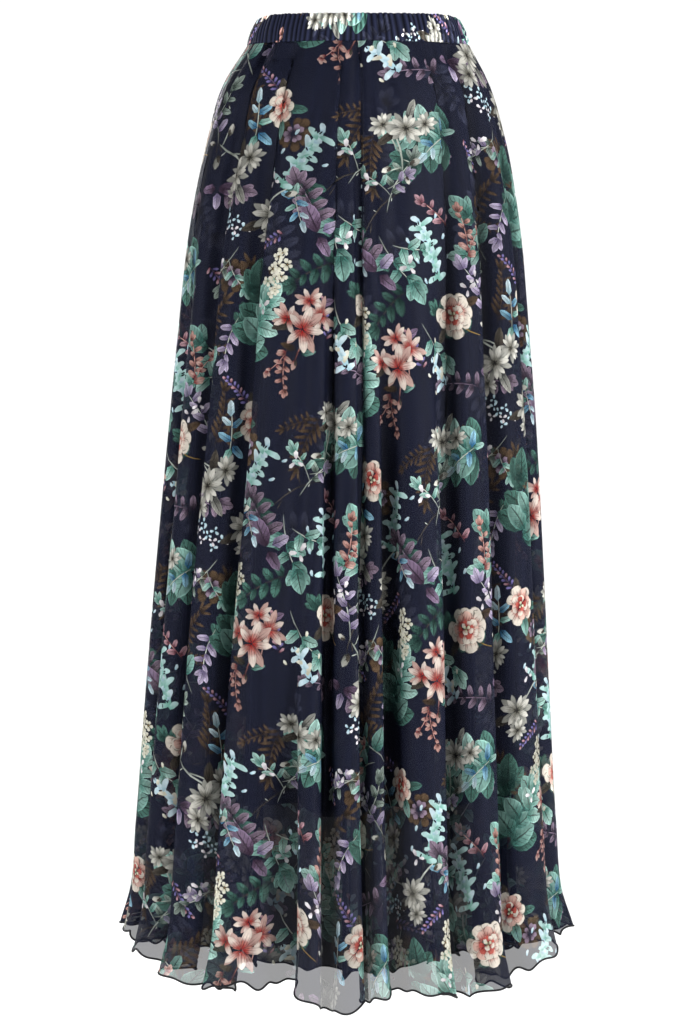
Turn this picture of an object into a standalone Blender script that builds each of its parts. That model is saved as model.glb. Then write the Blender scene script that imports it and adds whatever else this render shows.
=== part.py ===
"""Maxi skirt: a gathered elastic waistband, four flared chiffon panels hanging in deep soft folds
all round, and a plainer, shorter lining inside them.

Metres, +Z up.  The origin is the centre of the waistband, where the wearer holds the skirt.  The
front faces -Y.  Angles run round the body from the centre front towards +X, in degrees.
"""
import math

import bmesh
import bpy
import numpy as np

# ---- driving sizes -------------------------------------------------------------------------
SKIRT_LENGTH = 0.967        # waist seam to hem
LINING_LENGTH = 0.780       # waist seam to the lining's hem
BAND_HEIGHT = 0.029
BAND_TAPER = 0.0095         # the band's top edge is this much further in than its lower one
BAND_INSIDE = 0.0026        # the plain inside of the band, in from the skirt's wall
BAND_OUTSIDE = 0.0001       # the bottoms of the gathers, out from the skirt's wall
BAND_ROUNDING = 0.0010      # how much the band's edges pull in
GATHERS = 112
GATHER_HEIGHT = 0.0013
GATHER_POINTS = 3           # round the ring for each gather
GATHER_LOWEST = 0.5         # the lowest gathers, as a share of the tallest
GATHER_SWELLS = 31          # how many times round the band they go from tall to low
GATHER_AT_EDGE = 0.65       # their height at the band's two edges, as a share of the middle's
GATHER_DRIFT = ((9, 0.0022), (23, 0.0013))  # waves round the band; the share of a turn they shift it
HEM_SIDE_RISE = 0.055       # the hem hangs this much higher at the sides than at the front and back

WALL = 0.0012
SEAM_GAP = 0.0003
LINING_CLEARANCE = 0.0045   # between the lining and the valleys of the folds, where they are deep
LINING_FREE_FROM = 0.14     # the lining is that far in from this drop on
LINING_FOLLOWS = 0.32       # the lining's waves, as a share of the folds outside them

CUT_AT_WAIST = 0.700        # width of the four panels together where they meet the band
CUT_FLARE = 2.25            # and what each metre down adds to it
GATHERED_DOWN_TO = 0.035    # above this, small gathers take up the cloth and not the folds
HANGS_FROM = 0.60           # the hem's ups and downs begin this far down
FOLD_GROWS = 0.30           # a fold takes this long a drop to grow to its full share
FOLD_SHOWS = 0.25           # how much of that drop lies above the fold's start
SWINGS_FROM = 0.55          # depth over width from which a fold takes its full sideways shape

POINTS_A_FOLD = 8
LINING_POINTS_A_FOLD = 4
MEASURED_POINTS_A_FOLD = 24  # where a row's length is measured
HALVINGS = 30               # steps of the search for the depth of the folds
ROWS = (0.0, 0.035, 0.090, 0.160, 0.250, 0.360, 0.480, 0.600, 0.720, 0.840, 0.935, SKIRT_LENGTH)
LINING_ROWS = (0.0, 0.035, 0.090, 0.160, 0.250, 0.360, 0.480, 0.600, LINING_LENGTH)

# ---- the ring that the folds' crests touch, at each drop below the waist seam ----------------
# drop, half width, half depth, sideways shift of the centre
SECTIONS = np.array([
    (0.000, 0.1140, 0.0930, 0.0030),
    (0.035, 0.1350, 0.1050, 0.0010),
    (0.094, 0.1540, 0.1175, 0.0003),
    (0.140, 0.1651, 0.1260, -0.0002),
    (0.206, 0.1761, 0.1350, -0.0010),
    (0.304, 0.1843, 0.1450, -0.0020),
    (0.414, 0.1929, 0.1540, -0.0031),
    (0.560, 0.2031, 0.1660, -0.0058),
    (0.700, 0.2117, 0.1770, -0.0081),
    (0.850, 0.2206, 0.1890, -0.0096),
    (0.930, 0.2270, 0.1960, -0.0097),
    (0.967, 0.2361, 0.2000, -0.0097),
])
DROP, HALF_WIDTH, HALF_DEPTH, SHIFT = range(4)

# ---- the folds: one row for each valley and the flute that follows it ------------------------
# angle of the valley at the waist and at the hem; drop where it starts; its depth when whole;
# how far the next flute's crest stands back, as a share of that depth; how round the flute is
# (1 has upright sides); how much it swells over its valleys; how far it leans towards +angle;
# how much lower the hem hangs at the valley
FOLDS = np.array([
    (-90, -90, 0.12, 0.046, 0.00, 1.05, 0.10, 0.10, -0.006),
    (-72, -73, 0.20, 0.040, 0.00, 1.00, 0.11, -0.20, 0.000),
    (-54, -56, 0.03, 0.052, 0.05, 1.05, 0.10, -0.35, 0.004),
    (-34, -39, 0.05, 0.058, 0.16, 1.00, 0.10, -0.60, 0.004),
    (-17.5, -15.5, 0.62, 0.050, -0.10, 1.00, 0.11, 0.10, -0.016),
    (-9, -6, 0.16, 0.046, 0.05, 0.95, 0.10, 0.25, 0.012),
    (0, 5, 0.05, 0.040, 0.40, 0.80, 0.06, 0.10, 0.001),
    (8, 13.5, 0.26, 0.062, 0.05, 0.95, 0.09, 0.20, -0.009),
    (32, 31, 0.10, 0.052, 0.00, 1.05, 0.10, 0.20, 0.003),
    (51, 48, 0.04, 0.056, 0.00, 1.05, 0.10, 0.25, 0.006),
    (75, 74, 0.08, 0.044, 0.05, 1.00, 0.11, 0.10, -0.004),
    (90, 90, 0.16, 0.044, 0.00, 1.05, 0.10, -0.10, -0.004),
    (107, 106, 0.08, 0.052, 0.04, 1.00, 0.10, 0.20, 0.002),
    (124, 122, 0.14, 0.048, 0.00, 1.05, 0.11, -0.35, 0.004),
    (138, 141, 0.04, 0.056, 0.15, 1.00, 0.10, 0.40, -0.003),
    (154, 153, 0.24, 0.044, 0.00, 1.00, 0.10, -0.20, 0.003),
    (167, 170, 0.10, 0.054, 0.25, 1.00, 0.10, 0.15, 0.004),
    (180, 180, 0.05, 0.044, 0.05, 0.95, 0.10, -0.15, -0.002),
    (194, 191, 0.18, 0.056, 0.00, 1.05, 0.10, 0.35, 0.003),
    (209, 211, 0.06, 0.050, 0.20, 1.00, 0.11, -0.25, 0.004),
    (226, 223, 0.12, 0.048, 0.00, 1.05, 0.10, 0.15, -0.003),
    (239, 243, 0.04, 0.056, 0.05, 1.00, 0.10, -0.45, 0.002),
    (255, 256, 0.20, 0.042, 0.00, 1.00, 0.11, 0.15, 0.003),
])
AT_WAIST, AT_HEM, STARTS, DEPTH, STANDS_BACK, ROUND, SWELL, LEAN, HANGS = range(9)
FOLD_COUNT = len(FOLDS)

# panels: the folds they run between; seams lie in the valleys where these start
PANELS = {"panel_front_left": (0, 6), "panel_front_right": (6, 11),
          "panel_back_right": (11, 17), "panel_back_left": (17, FOLD_COUNT)}
LININGS = {"lining_front": (0, 11), "lining_back": (11, FOLD_COUNT)}

NAVY_CHIFFON = (0.020, 0.022, 0.038)
NAVY_LINING = (0.011, 0.012, 0.022)


def smooth(x):
    """0 below 0, 1 above 1, and an easy S between them."""
    x = np.clip(x, 0.0, 1.0)
    return x * x * (3.0 - 2.0 * x)


def section(column, drop):
    """One column of SECTIONS at this drop, along a smooth curve through its rows."""
    x = SECTIONS[:, DROP]
    y = SECTIONS[:, column]
    slope = np.gradient(y, x)
    i = int(np.clip(np.searchsorted(x, drop) - 1, 0, len(x) - 2))
    span = x[i + 1] - x[i]
    t = (drop - x[i]) / span
    start = (1 + 2 * t) * (1 - t) ** 2 * y[i] + t * (1 - t) ** 2 * span * slope[i]
    end = t * t * (3 - 2 * t) * y[i + 1] + t * t * (t - 1) * span * slope[i + 1]
    return start + end


def fold_column(column, index):
    return FOLDS[index % FOLD_COUNT, column]


def valley_angle(index, drop):
    """Angle of a valley: it drifts evenly from its place at the waist to its place at the hem."""
    turns = 360.0 * (index // FOLD_COUNT)
    share = drop / SKIRT_LENGTH
    top = fold_column(AT_WAIST, index)
    return turns + top + (fold_column(AT_HEM, index) - top) * share


def valley_depth(index, drop, fullness):
    grown = smooth((drop - fold_column(STARTS, index)) / FOLD_GROWS + FOLD_SHOWS)
    return fullness * fold_column(DEPTH, index) * grown


def ring_point(angle, inset, drop):
    """A point inset from the crest ring along its normal; angles in degrees."""
    half_width = section(HALF_WIDTH, drop)
    half_depth = section(HALF_DEPTH, drop)
    across = np.sin(np.radians(angle))
    ahead = np.cos(np.radians(angle))
    normal = np.stack((across / half_width, -ahead / half_depth), -1)
    normal /= np.linalg.norm(normal, axis=-1, keepdims=True)
    x = section(SHIFT, drop) + half_width * across - inset * normal[..., 0]
    y = -half_depth * ahead - inset * normal[..., 1]
    rise = HEM_SIDE_RISE * (drop / SKIRT_LENGTH) ** 2
    z = -BAND_HEIGHT / 2 - drop + rise * across ** 4
    return np.stack((x, y, z), -1)


def folded(place, drop, fullness, shallower=1.0, clearance=0.0):
    """The cloth at fold places (3.5 is the crest of fold 3) at one drop.

    From one valley to the next the cloth rises to the crest and falls again as a cosine, while it
    swings sideways as two sines, so the flute is rounder than a cosine and its valleys narrower.
    The lining takes the same folds shallower, and lies inside their valleys by the clearance.
    """
    index = np.floor(place).astype(int)
    phase = 2.0 * math.pi * (place - index)
    left = valley_angle(index, drop)
    right = valley_angle(index + 1, drop)
    depth = valley_depth(index, drop, fullness)
    next_depth = valley_depth(index + 1, drop, fullness)
    crest = fold_column(STANDS_BACK, index) * np.minimum(depth, next_depth)
    depth = depth + (next_depth - depth) * smooth(place - index)
    relief = (depth - crest) * (1.0 - np.cos(phase)) / 2.0 * shallower
    inset = depth - relief + clearance
    radius = (section(HALF_WIDTH, drop) + section(HALF_DEPTH, drop)) / 2.0
    span = np.radians(right - left) * radius
    formed = smooth((depth - crest) / (SWINGS_FROM * span))
    swing = fold_column(ROUND, index) / (4.0 * math.pi) * np.sin(2.0 * phase)
    swing -= fold_column(SWELL, index) * np.sin(phase)
    sideways = shallower * formed * span * swing + fold_column(LEAN, index) * formed * relief
    angle = left + (right - left) * (place - index) + np.degrees(sideways / radius)
    points = ring_point(angle, inset, drop)
    hangs = fold_column(HANGS, index)
    hangs = hangs + (fold_column(HANGS, index + 1) - hangs) * smooth(place - index)
    points[:, 2] -= hangs * smooth((drop - HANGS_FROM) / (SKIRT_LENGTH - HANGS_FROM))
    return points


def length_round(points):
    return np.linalg.norm(np.diff(points[:, :2], axis=0), axis=1).sum()


def fullness_at(drop):
    """The folds are as deep as takes up the width that the panels are cut to at this drop."""
    drop = max(drop, GATHERED_DOWN_TO)
    wanted = CUT_AT_WAIST + CUT_FLARE * drop
    places = places_between(0, FOLD_COUNT, MEASURED_POINTS_A_FOLD)
    low, high = 0.0, 3.0
    for _ in range(HALVINGS):
        middle = (low + high) / 2.0
        if length_round(folded(places, drop, middle)) < wanted:
            low = middle
        else:
            high = middle
    return low


def places_between(first, last, points_a_fold):
    return np.linspace(first, last, (last - first) * points_a_fold + 1)


def trimmed(row):
    """The row of points with its two ends drawn in by half the seam gap."""
    row = row.copy()
    for end, inner in ((0, 1), (-1, -2)):
        step = row[inner] - row[end]
        row[end] += step * (SEAM_GAP / 2.0 / np.linalg.norm(step))
    return row


def cloth_wall(first, last, rows, points_a_fold, shallower=1.0, clearance=None):
    """The outer and inner points of a panel's wall, row by row.

    The grid is worked out one column past each seam, so that the two panels of a seam agree on
    the way their walls face there.
    """
    places = places_between(first, last, points_a_fold)
    step = places[1] - places[0]
    places = np.concatenate(([first - step], places, [last + step]))
    middle = []
    for drop in rows:
        inside = clearance(drop) if clearance else 0.0
        middle.append(folded(places, drop, fullness_at(drop), shallower, inside))
    middle = np.array(middle)
    along = np.gradient(middle, axis=1)
    down = np.gradient(middle, np.array(rows), axis=0)
    facing = np.cross(down, along)
    facing /= np.linalg.norm(facing, axis=-1, keepdims=True)
    middle[0, :, 2] -= SEAM_GAP
    middle = np.array([trimmed(row) for row in middle[:, 1:-1]])
    half = facing[:, 1:-1] * WALL / 2.0
    half[0, :, 2] = 0.0
    return middle + half, middle - half


def lining_clearance(drop):
    """Just inside the panels at the waist seam, and clear of the valleys further down."""
    at_waist = WALL + SEAM_GAP
    return at_waist + (LINING_CLEARANCE - at_waist) * smooth(drop / LINING_FREE_FROM)


def material(name, colour, roughness):
    made = bpy.data.materials.new(name)
    made.use_nodes = True
    made.diffuse_color = (*colour, 1.0)
    shader = made.node_tree.nodes["Principled BSDF"]
    shader.inputs["Base Color"].default_value = (*colour, 1.0)
    shader.inputs["Roughness"].default_value = roughness
    shader.inputs["Metallic"].default_value = 0.0
    return made


def add_object(name, mesh, collection, finish):
    thing = bpy.data.objects.new(name, mesh)
    thing.data.materials.append(finish)
    thing.data.shade_smooth()
    collection.objects.link(thing)
    return thing


def add_cloth(name, outer, inner, collection, finish):
    """A loft down the rows: each section is the wall's outer row and its inner row, as a loop.

    The facets of the two sides are split along the same diagonals, or a twisted facet's two sides
    would cross in so thin a wall.
    """
    shape = bmesh.new()
    outside = [[shape.verts.new(point) for point in row] for row in outer]
    inside = [[shape.verts.new(point) for point in row] for row in inner]
    for r in range(len(outside) - 1):
        for c in range(len(outside[r]) - 1):
            for side, turned in ((outside, False), (inside, True)):
                a, b = side[r][c], side[r][c + 1]
                d, e = side[r + 1][c], side[r + 1][c + 1]
                for corners in ((a, d, e), (a, e, b)):
                    shape.faces.new(corners[::-1] if turned else corners)
        for c, turned in ((0, True), (-1, False)):
            edge = (outside[r][c], outside[r + 1][c], inside[r + 1][c], inside[r][c])
            shape.faces.new(edge[::-1] if turned else edge)
    for r, turned in ((0, False), (-1, True)):
        for c in range(len(outside[r]) - 1):
            edge = (outside[r][c], outside[r][c + 1], inside[r][c + 1], inside[r][c])
            shape.faces.new(edge[::-1] if turned else edge)
    mesh = bpy.data.meshes.new(name)
    shape.to_mesh(mesh)
    shape.free()
    return add_object(name, mesh, collection, finish)


def gathered_ring(share, steps, lift):
    """The band's outside at a height share 0..1: a ring with uneven gathers, raised by lift."""
    turn = np.arange(steps) / steps
    shifted = turn + sum(shift * np.sin(2.0 * math.pi * waves * turn) for waves, shift in GATHER_DRIFT)
    wave = (1.0 + np.cos(2.0 * math.pi * GATHERS * shifted)) / 2.0
    swell = (1.0 + np.sin(2.0 * math.pi * GATHER_SWELLS * turn)) / 2.0
    tall = GATHER_LOWEST + (1.0 - GATHER_LOWEST) * swell
    return band_ring(share, 360.0 * turn, -BAND_OUTSIDE - lift * tall * wave)


def band_ring(share, angle, inset):
    """The waistband's ring at a height share 0..1, above the waist seam."""
    points = ring_point(angle, inset + BAND_TAPER * share, 0.0)
    points[:, 2] += BAND_HEIGHT * share
    return points


def add_waistband(collection, finish):
    """A ring with gathers raised in its outer points, over a plain inside."""
    steps = GATHERS * GATHER_POINTS
    plain = 360.0 * np.arange(GATHERS) / GATHERS
    rings = [gathered_ring(0.0, steps, GATHER_HEIGHT * GATHER_AT_EDGE),
             gathered_ring(0.5, steps, GATHER_HEIGHT + BAND_ROUNDING),
             gathered_ring(1.0, steps, GATHER_HEIGHT * GATHER_AT_EDGE),
             band_ring(1.0, plain, BAND_INSIDE),
             band_ring(0.0, plain, BAND_INSIDE)]
    shape = bmesh.new()
    loops = [[shape.verts.new(point) for point in ring] for ring in rings]
    for lower, upper in zip(loops, loops[1:] + loops[:1]):
        join_rings(shape, lower, upper)
    bmesh.ops.recalc_face_normals(shape, faces=shape.faces)
    mesh = bpy.data.meshes.new("waistband")
    shape.to_mesh(mesh)
    shape.free()
    return add_object("waistband", mesh, collection, finish)


def join_rings(shape, lower, upper):
    """Faces between two rings, of which one may have several points for each of the other's."""
    steps = max(len(lower), len(upper))
    for k in range(steps):
        a = lower[k * len(lower) // steps]
        b = lower[(k + 1) * len(lower) // steps % len(lower)]
        c = upper[(k + 1) * len(upper) // steps % len(upper)]
        d = upper[k * len(upper) // steps]
        shape.faces.new(list(dict.fromkeys((a, b, c, d))))


def main():
    for thing in list(bpy.data.objects):
        bpy.data.objects.remove(thing)
    skirt = bpy.data.collections.new("maxi_skirt")
    bpy.context.scene.collection.children.link(skirt)
    chiffon = material("navy_printed_chiffon", NAVY_CHIFFON, 0.75)
    lining = material("navy_satin_lining", NAVY_LINING, 0.45)
    add_waistband(skirt, chiffon)
    for name, (first, last) in PANELS.items():
        outer, inner = cloth_wall(first, last, ROWS, POINTS_A_FOLD)
        add_cloth(name, outer, inner, skirt, chiffon)
    for name, (first, last) in LININGS.items():
        outer, inner = cloth_wall(first, last, LINING_ROWS, LINING_POINTS_A_FOLD, LINING_FOLLOWS,
                                  lining_clearance)
        add_cloth(name, outer, inner, skirt, lining)


main()
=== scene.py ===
"""Maxi skirt of printed chiffon: an elastic waistband in small gathers, four flared panels hanging
in deep folds, a rolled hem that ripples, and a plain lining inside.

The cloth is worked out as functions of two numbers: its place among the folds and its drop below
the waist seam, in metres.  The front faces -Y.
"""
import math

import bpy
import numpy as np
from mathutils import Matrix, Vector
from mathutils.geometry import delaunay_2d_cdt


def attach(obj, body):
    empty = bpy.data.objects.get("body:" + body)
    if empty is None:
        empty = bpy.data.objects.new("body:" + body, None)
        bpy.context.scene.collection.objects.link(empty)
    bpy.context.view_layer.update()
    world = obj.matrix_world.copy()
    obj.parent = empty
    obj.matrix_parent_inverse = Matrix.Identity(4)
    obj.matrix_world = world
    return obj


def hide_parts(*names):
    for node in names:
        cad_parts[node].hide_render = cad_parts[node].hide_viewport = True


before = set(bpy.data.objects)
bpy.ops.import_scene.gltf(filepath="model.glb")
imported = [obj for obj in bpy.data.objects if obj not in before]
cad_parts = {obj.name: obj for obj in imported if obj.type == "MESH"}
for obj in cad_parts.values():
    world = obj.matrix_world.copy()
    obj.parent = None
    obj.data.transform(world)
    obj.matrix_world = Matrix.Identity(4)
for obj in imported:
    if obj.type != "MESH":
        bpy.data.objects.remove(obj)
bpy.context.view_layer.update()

# ---- sizes of the skirt in metres, as in the solids ----------------------------------------
SKIRT_LENGTH = 0.967        # waist seam to hem
LINING_LENGTH = 0.780
BAND_HEIGHT = 0.029
BAND_TAPER = 0.0095         # the band's top edge is this much further in than its lower one
BAND_INSIDE = 0.0026        # its inside lies this far in from the ring that the crests touch
BAND_OUTSIDE = 0.0001       # its outside this far out
BAND_ROUNDING = 0.0010      # and this much further halfway up
GATHERS = 112               # ridges round the band
GATHER_LOWEST = 0.5         # the lowest ridges, as a share of the highest
GATHER_SWELLS = 31          # how often they rise and sink round the band
GATHER_DRIFT = ((9, 0.0022), (23, 0.0013))   # waves in their spacing: how many, and share of a turn
HEM_SIDE_RISE = 0.055       # the hem hangs this much higher at the sides
LINING_AT_WAIST = 0.0015    # the lining hangs this far inside the valleys at the waist
LINING_CLEARANCE = 0.0045   # and this far inside them
LINING_FREE_FROM = 0.14     # from this drop down
LINING_FOLLOWS = 0.32       # its folds are this share as deep as the chiffon's
CUT_AT_WAIST = 0.700        # width of the four panels together where they meet the band
CUT_FLARE = 2.25            # and what each metre down adds to it
GATHERED_DOWN_TO = 0.035    # above this drop the cloth's length round the skirt stays the same
HANGS_FROM = 0.60           # from this drop some folds hang lower than others
FOLD_GROWS = 0.30           # the drop over which a fold deepens
FOLD_SHOWS = 0.25           # how far along that it is at the drop where it starts
SWINGS_FROM = 0.55          # a flute is fully round where it is this share of its width deep

# the ring that the folds' crests touch: drop, half width, half depth, sideways shift
SECTIONS = np.array([
    (0.000, 0.1140, 0.0930, 0.0030),
    (0.035, 0.1350, 0.1050, 0.0010),
    (0.094, 0.1540, 0.1175, 0.0003),
    (0.140, 0.1651, 0.1260, -0.0002),
    (0.206, 0.1761, 0.1350, -0.0010),
    (0.304, 0.1843, 0.1450, -0.0020),
    (0.414, 0.1929, 0.1540, -0.0031),
    (0.560, 0.2031, 0.1660, -0.0058),
    (0.700, 0.2117, 0.1770, -0.0081),
    (0.850, 0.2206, 0.1890, -0.0096),
    (0.930, 0.2270, 0.1960, -0.0097),
    (0.967, 0.2361, 0.2000, -0.0097),
])
DROP, HALF_WIDTH, HALF_DEPTH, SHIFT = range(4)

# one row for each valley and the flute that follows it: its angle at the waist and at the hem;
# the drop where it starts; its depth; how far the next crest stands back; how round the flute is;
# how much it swells over its valleys; how far it leans; how much lower the hem hangs, which at
# 167, 180 and 194 degrees is more than in the solids
FOLDS = np.array([
    (-90, -90, 0.12, 0.046, 0.00, 1.05, 0.10, 0.10, -0.006),
    (-72, -73, 0.20, 0.040, 0.00, 1.00, 0.11, -0.20, 0.000),
    (-54, -56, 0.03, 0.052, 0.05, 1.05, 0.10, -0.35, 0.004),
    (-34, -39, 0.05, 0.058, 0.16, 1.00, 0.10, -0.60, 0.004),
    (-17.5, -15.5, 0.62, 0.050, -0.10, 1.00, 0.11, 0.10, -0.016),
    (-9, -6, 0.16, 0.046, 0.05, 0.95, 0.10, 0.25, 0.012),
    (0, 5, 0.05, 0.040, 0.40, 0.80, 0.06, 0.10, 0.001),
    (8, 13.5, 0.26, 0.062, 0.05, 0.95, 0.09, 0.20, -0.009),
    (32, 31, 0.10, 0.052, 0.00, 1.05, 0.10, 0.20, 0.003),
    (51, 48, 0.04, 0.056, 0.00, 1.05, 0.10, 0.25, 0.006),
    (75, 74, 0.08, 0.044, 0.05, 1.00, 0.11, 0.10, -0.004),
    (90, 90, 0.16, 0.044, 0.00, 1.05, 0.10, -0.10, -0.004),
    (107, 106, 0.08, 0.052, 0.04, 1.00, 0.10, 0.20, 0.002),
    (124, 122, 0.14, 0.048, 0.00, 1.05, 0.11, -0.35, 0.004),
    (138, 141, 0.04, 0.056, 0.15, 1.00, 0.10, 0.40, -0.003),
    (154, 153, 0.24, 0.044, 0.00, 1.00, 0.10, -0.20, 0.003),
    (167, 170, 0.10, 0.054, 0.25, 1.00, 0.10, 0.15, 0.014),
    (180, 180, 0.05, 0.044, 0.05, 0.95, 0.10, -0.15, 0.020),
    (194, 191, 0.18, 0.056, 0.00, 1.05, 0.10, 0.35, 0.009),
    (209, 211, 0.06, 0.050, 0.20, 1.00, 0.11, -0.25, 0.004),
    (226, 223, 0.12, 0.048, 0.00, 1.05, 0.10, 0.15, -0.003),
    (239, 243, 0.04, 0.056, 0.05, 1.00, 0.10, -0.45, 0.002),
    (255, 256, 0.20, 0.042, 0.00, 1.00, 0.11, 0.15, 0.003),
])
AT_WAIST, AT_HEM, STARTS, DEPTH, STANDS_BACK, ROUND, SWELL, LEAN, HANGS = range(9)
FOLD_COUNT = len(FOLDS)

# the panels and the lining's pieces, and the folds that each one runs over
PANELS = {"front_left": (0, 6), "front_right": (6, 11), "back_right": (11, 17), "back_left": (17, 23)}
LININGS = {"front": (0, 11), "back": (11, 23)}

# soft creases besides the folds: fold place at the top and at the bottom, the drops they run
# between, their depth in millimetres (a ridge is below 0) and their half width in folds
CREASES = np.array([
    (0.45, 0.40, 0.02, 0.42, 2.2, 0.16), (1.60, 1.52, 0.01, 0.30, 2.6, 0.14),
    (1.30, 1.35, 0.38, 0.80, 1.8, 0.15), (2.42, 2.36, 0.00, 0.24, 3.0, 0.13),
    (2.62, 2.70, 0.30, 0.72, 2.0, 0.14), (3.30, 3.22, 0.01, 0.36, 2.8, 0.11),
    (3.58, 3.52, 0.10, 0.66, -1.8, 0.12), (3.72, 3.78, 0.44, 0.96, 2.2, 0.09),
    (4.46, 4.40, 0.00, 0.28, 2.0, 0.20), (4.30, 4.36, 0.52, 0.94, 1.6, 0.16),
    (5.50, 5.54, 0.02, 0.34, 2.2, 0.18), (6.48, 6.44, 0.20, 0.74, 1.2, 0.22),
    (7.24, 7.18, 0.00, 0.30, 2.6, 0.11), (7.62, 7.70, 0.04, 0.56, 2.4, 0.12),
    (7.44, 7.40, 0.46, 0.95, -1.8, 0.10), (8.36, 8.30, 0.00, 0.22, 2.6, 0.14),
    (8.60, 8.66, 0.26, 0.84, 2.0, 0.13), (9.28, 9.34, 0.01, 0.44, 2.8, 0.12),
    (9.64, 9.60, 0.12, 0.70, -1.6, 0.12), (10.5, 10.46, 0.03, 0.38, 2.2, 0.17),
    (11.4, 11.36, 0.00, 0.32, 2.4, 0.15), (12.3, 12.38, 0.02, 0.50, 2.6, 0.13),
    (12.7, 12.64, 0.34, 0.86, 1.8, 0.13), (13.5, 13.42, 0.00, 0.26, 2.4, 0.15),
    (14.3, 14.36, 0.05, 0.60, 2.6, 0.12), (14.7, 14.66, 0.28, 0.92, -1.6, 0.11),
    (15.5, 15.58, 0.01, 0.33, 2.2, 0.16), (16.4, 16.34, 0.03, 0.46, 2.4, 0.14),
    (17.5, 17.56, 0.00, 0.30, 2.2, 0.17), (18.3, 18.24, 0.06, 0.64, 2.6, 0.12),
    (18.7, 18.76, 0.32, 0.88, 1.8, 0.12), (19.4, 19.48, 0.00, 0.28, 2.4, 0.15),
    (20.5, 20.42, 0.02, 0.52, 2.4, 0.14), (21.3, 21.38, 0.04, 0.40, 2.6, 0.13),
    (21.7, 21.64, 0.36, 0.90, -1.6, 0.12), (22.5, 22.44, 0.01, 0.36, 2.2, 0.17),
])
CREASE_TOP, CREASE_BOTTOM, CREASE_FROM, CREASE_TO, CREASE_DEPTH, CREASE_HALF = range(6)

# small knife pleats under the band: how strong the one along each row's valley is
PLEATED = np.array([0, 0.5, 0.6, 1, 0, 0.8, 1, 0, 0.9, 0.9, 0.5, 0,
                    0.5, 0.7, 0, 0.8, 0, 1, 0.7, 0, 0.8, 0.5, 0])
PLEAT_RISE = 0.0026         # a pleat's edge stands this far off the cloth beside it
PLEAT_OVER = 0.0062         # and lies this far over it
PLEAT_REACH = 0.35          # it rises over this share of its flute
PLEAT_RETURN = 0.07         # and the cloth turns back under it within this share of the next
PLEAT_STARTS = 0.005        # the drop where the pleats begin
PLEAT_FORMS = 0.03          # the drop over which they form
PLEAT_ENDS = 0.60           # the drop where they have opened into the folds

TUCKED_IN = 0.002           # the panels run this far up behind the band's lower edge
RUN_ON_HEIGHT = 0.0009      # the band's gathers run on into the panels, this high
RUN_ON_DROP = 0.011         # and fade over this drop
RIPPLE_FROM = 0.055         # the hem's ripples begin this far above it
HEM_FLUTTER = 0.0054        # they go this far in and out
HEM_SCALLOP = 0.0050        # and this far up and down
HEM_RIPPLES = ((39, 1.0, 0.50), (67, 2.1, 0.40), (99, 0.7, 0.42))   # how many, phase, strength
HEM_RADIUS = 0.00105        # the rolled edge

# painted shade: how light the cloth's inks are drawn, darker in its folds, which lie in soft shadow that
# looks the same from every side
SHADE_DEPTH = 12.0          # what each metre of a valley's depth takes off
SHADE_RIGHT = 0.20          # how far that reaches over the flute at the valley's right, in folds
SHADE_LEFT = 0.10           # and over the one at its left
SHADE_DARKEST = 0.2         # the least that it leaves
PLEAT_SHADE = 0.68          # what a pleat's painted shadow takes off
PLEAT_SHADE_REACH = 0.26    # and how far it reaches, in folds
PLEAT_EDGE = 0.30           # what the painted light on a pleat's lighter edge adds
PLEAT_EDGE_REACH = 0.14
UNLINED_DIMMER = 0.08       # painted shade: the inks are drawn darker below the lining, where light passes through the cloth

TABLE_DROPS = np.linspace(-TUCKED_IN, SKIRT_LENGTH, 98)   # where tables of the cloth are worked out
TABLE_PLACES = 24           # points in each fold where its length is measured
MOST_FULLNESS = 3.0         # the folds' share of their depth is looked for between 0 and this
HALVINGS = 30               # and that range is halved this often


def smooth(x):
    """0 below 0, 1 above 1, and 3x^2 - 2x^3 between them."""
    x = np.clip(x, 0.0, 1.0)
    return x * x * (3.0 - 2.0 * x)


def section(column, drop):
    """One column of SECTIONS at each drop: a cubic through the rows, with the rows' own slopes."""
    x = SECTIONS[:, DROP]
    y = SECTIONS[:, column]
    slope = np.gradient(y, x)
    i = np.clip(np.searchsorted(x, drop) - 1, 0, len(x) - 2)
    span = x[i + 1] - x[i]
    t = (drop - x[i]) / span
    start = (1 + 2 * t) * (1 - t) ** 2 * y[i] + t * (1 - t) ** 2 * span * slope[i]
    end = t * t * (3 - 2 * t) * y[i + 1] + t * t * (t - 1) * span * slope[i + 1]
    return start + end


def fold_column(column, index):
    """One column of FOLDS for each fold's number, which may run on past a full turn."""
    return FOLDS[index % FOLD_COUNT, column]


def valley_angle(index, drop):
    """Angle of a valley, which drifts evenly from its place at the waist to its place at the hem."""
    turns = 360.0 * (index // FOLD_COUNT)
    top = fold_column(AT_WAIST, index)
    return turns + top + (fold_column(AT_HEM, index) - top) * drop / SKIRT_LENGTH


def valley_depth(index, drop, fullness):
    """How deep a valley is: it grows smoothly, from a little above its start, to its full depth."""
    grown = smooth((drop - fold_column(STARTS, index)) / FOLD_GROWS + FOLD_SHOWS)
    return fullness * fold_column(DEPTH, index) * grown


def ring_point(angle, inset, drop):
    """A point inset from the crest ring along its normal: an oval, lower at its sides."""
    half_width = section(HALF_WIDTH, drop)
    half_depth = section(HALF_DEPTH, drop)
    across = np.sin(np.radians(angle))
    ahead = np.cos(np.radians(angle))
    normal = np.stack((across / half_width, -ahead / half_depth), -1)
    normal /= np.linalg.norm(normal, axis=-1, keepdims=True)
    x = section(SHIFT, drop) + half_width * across - inset * normal[..., 0]
    y = -half_depth * ahead - inset * normal[..., 1]
    rise = HEM_SIDE_RISE * (drop / SKIRT_LENGTH) ** 2
    z = -BAND_HEIGHT / 2 - drop + rise * across ** 4
    return np.stack((x, y, z), -1)


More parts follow.
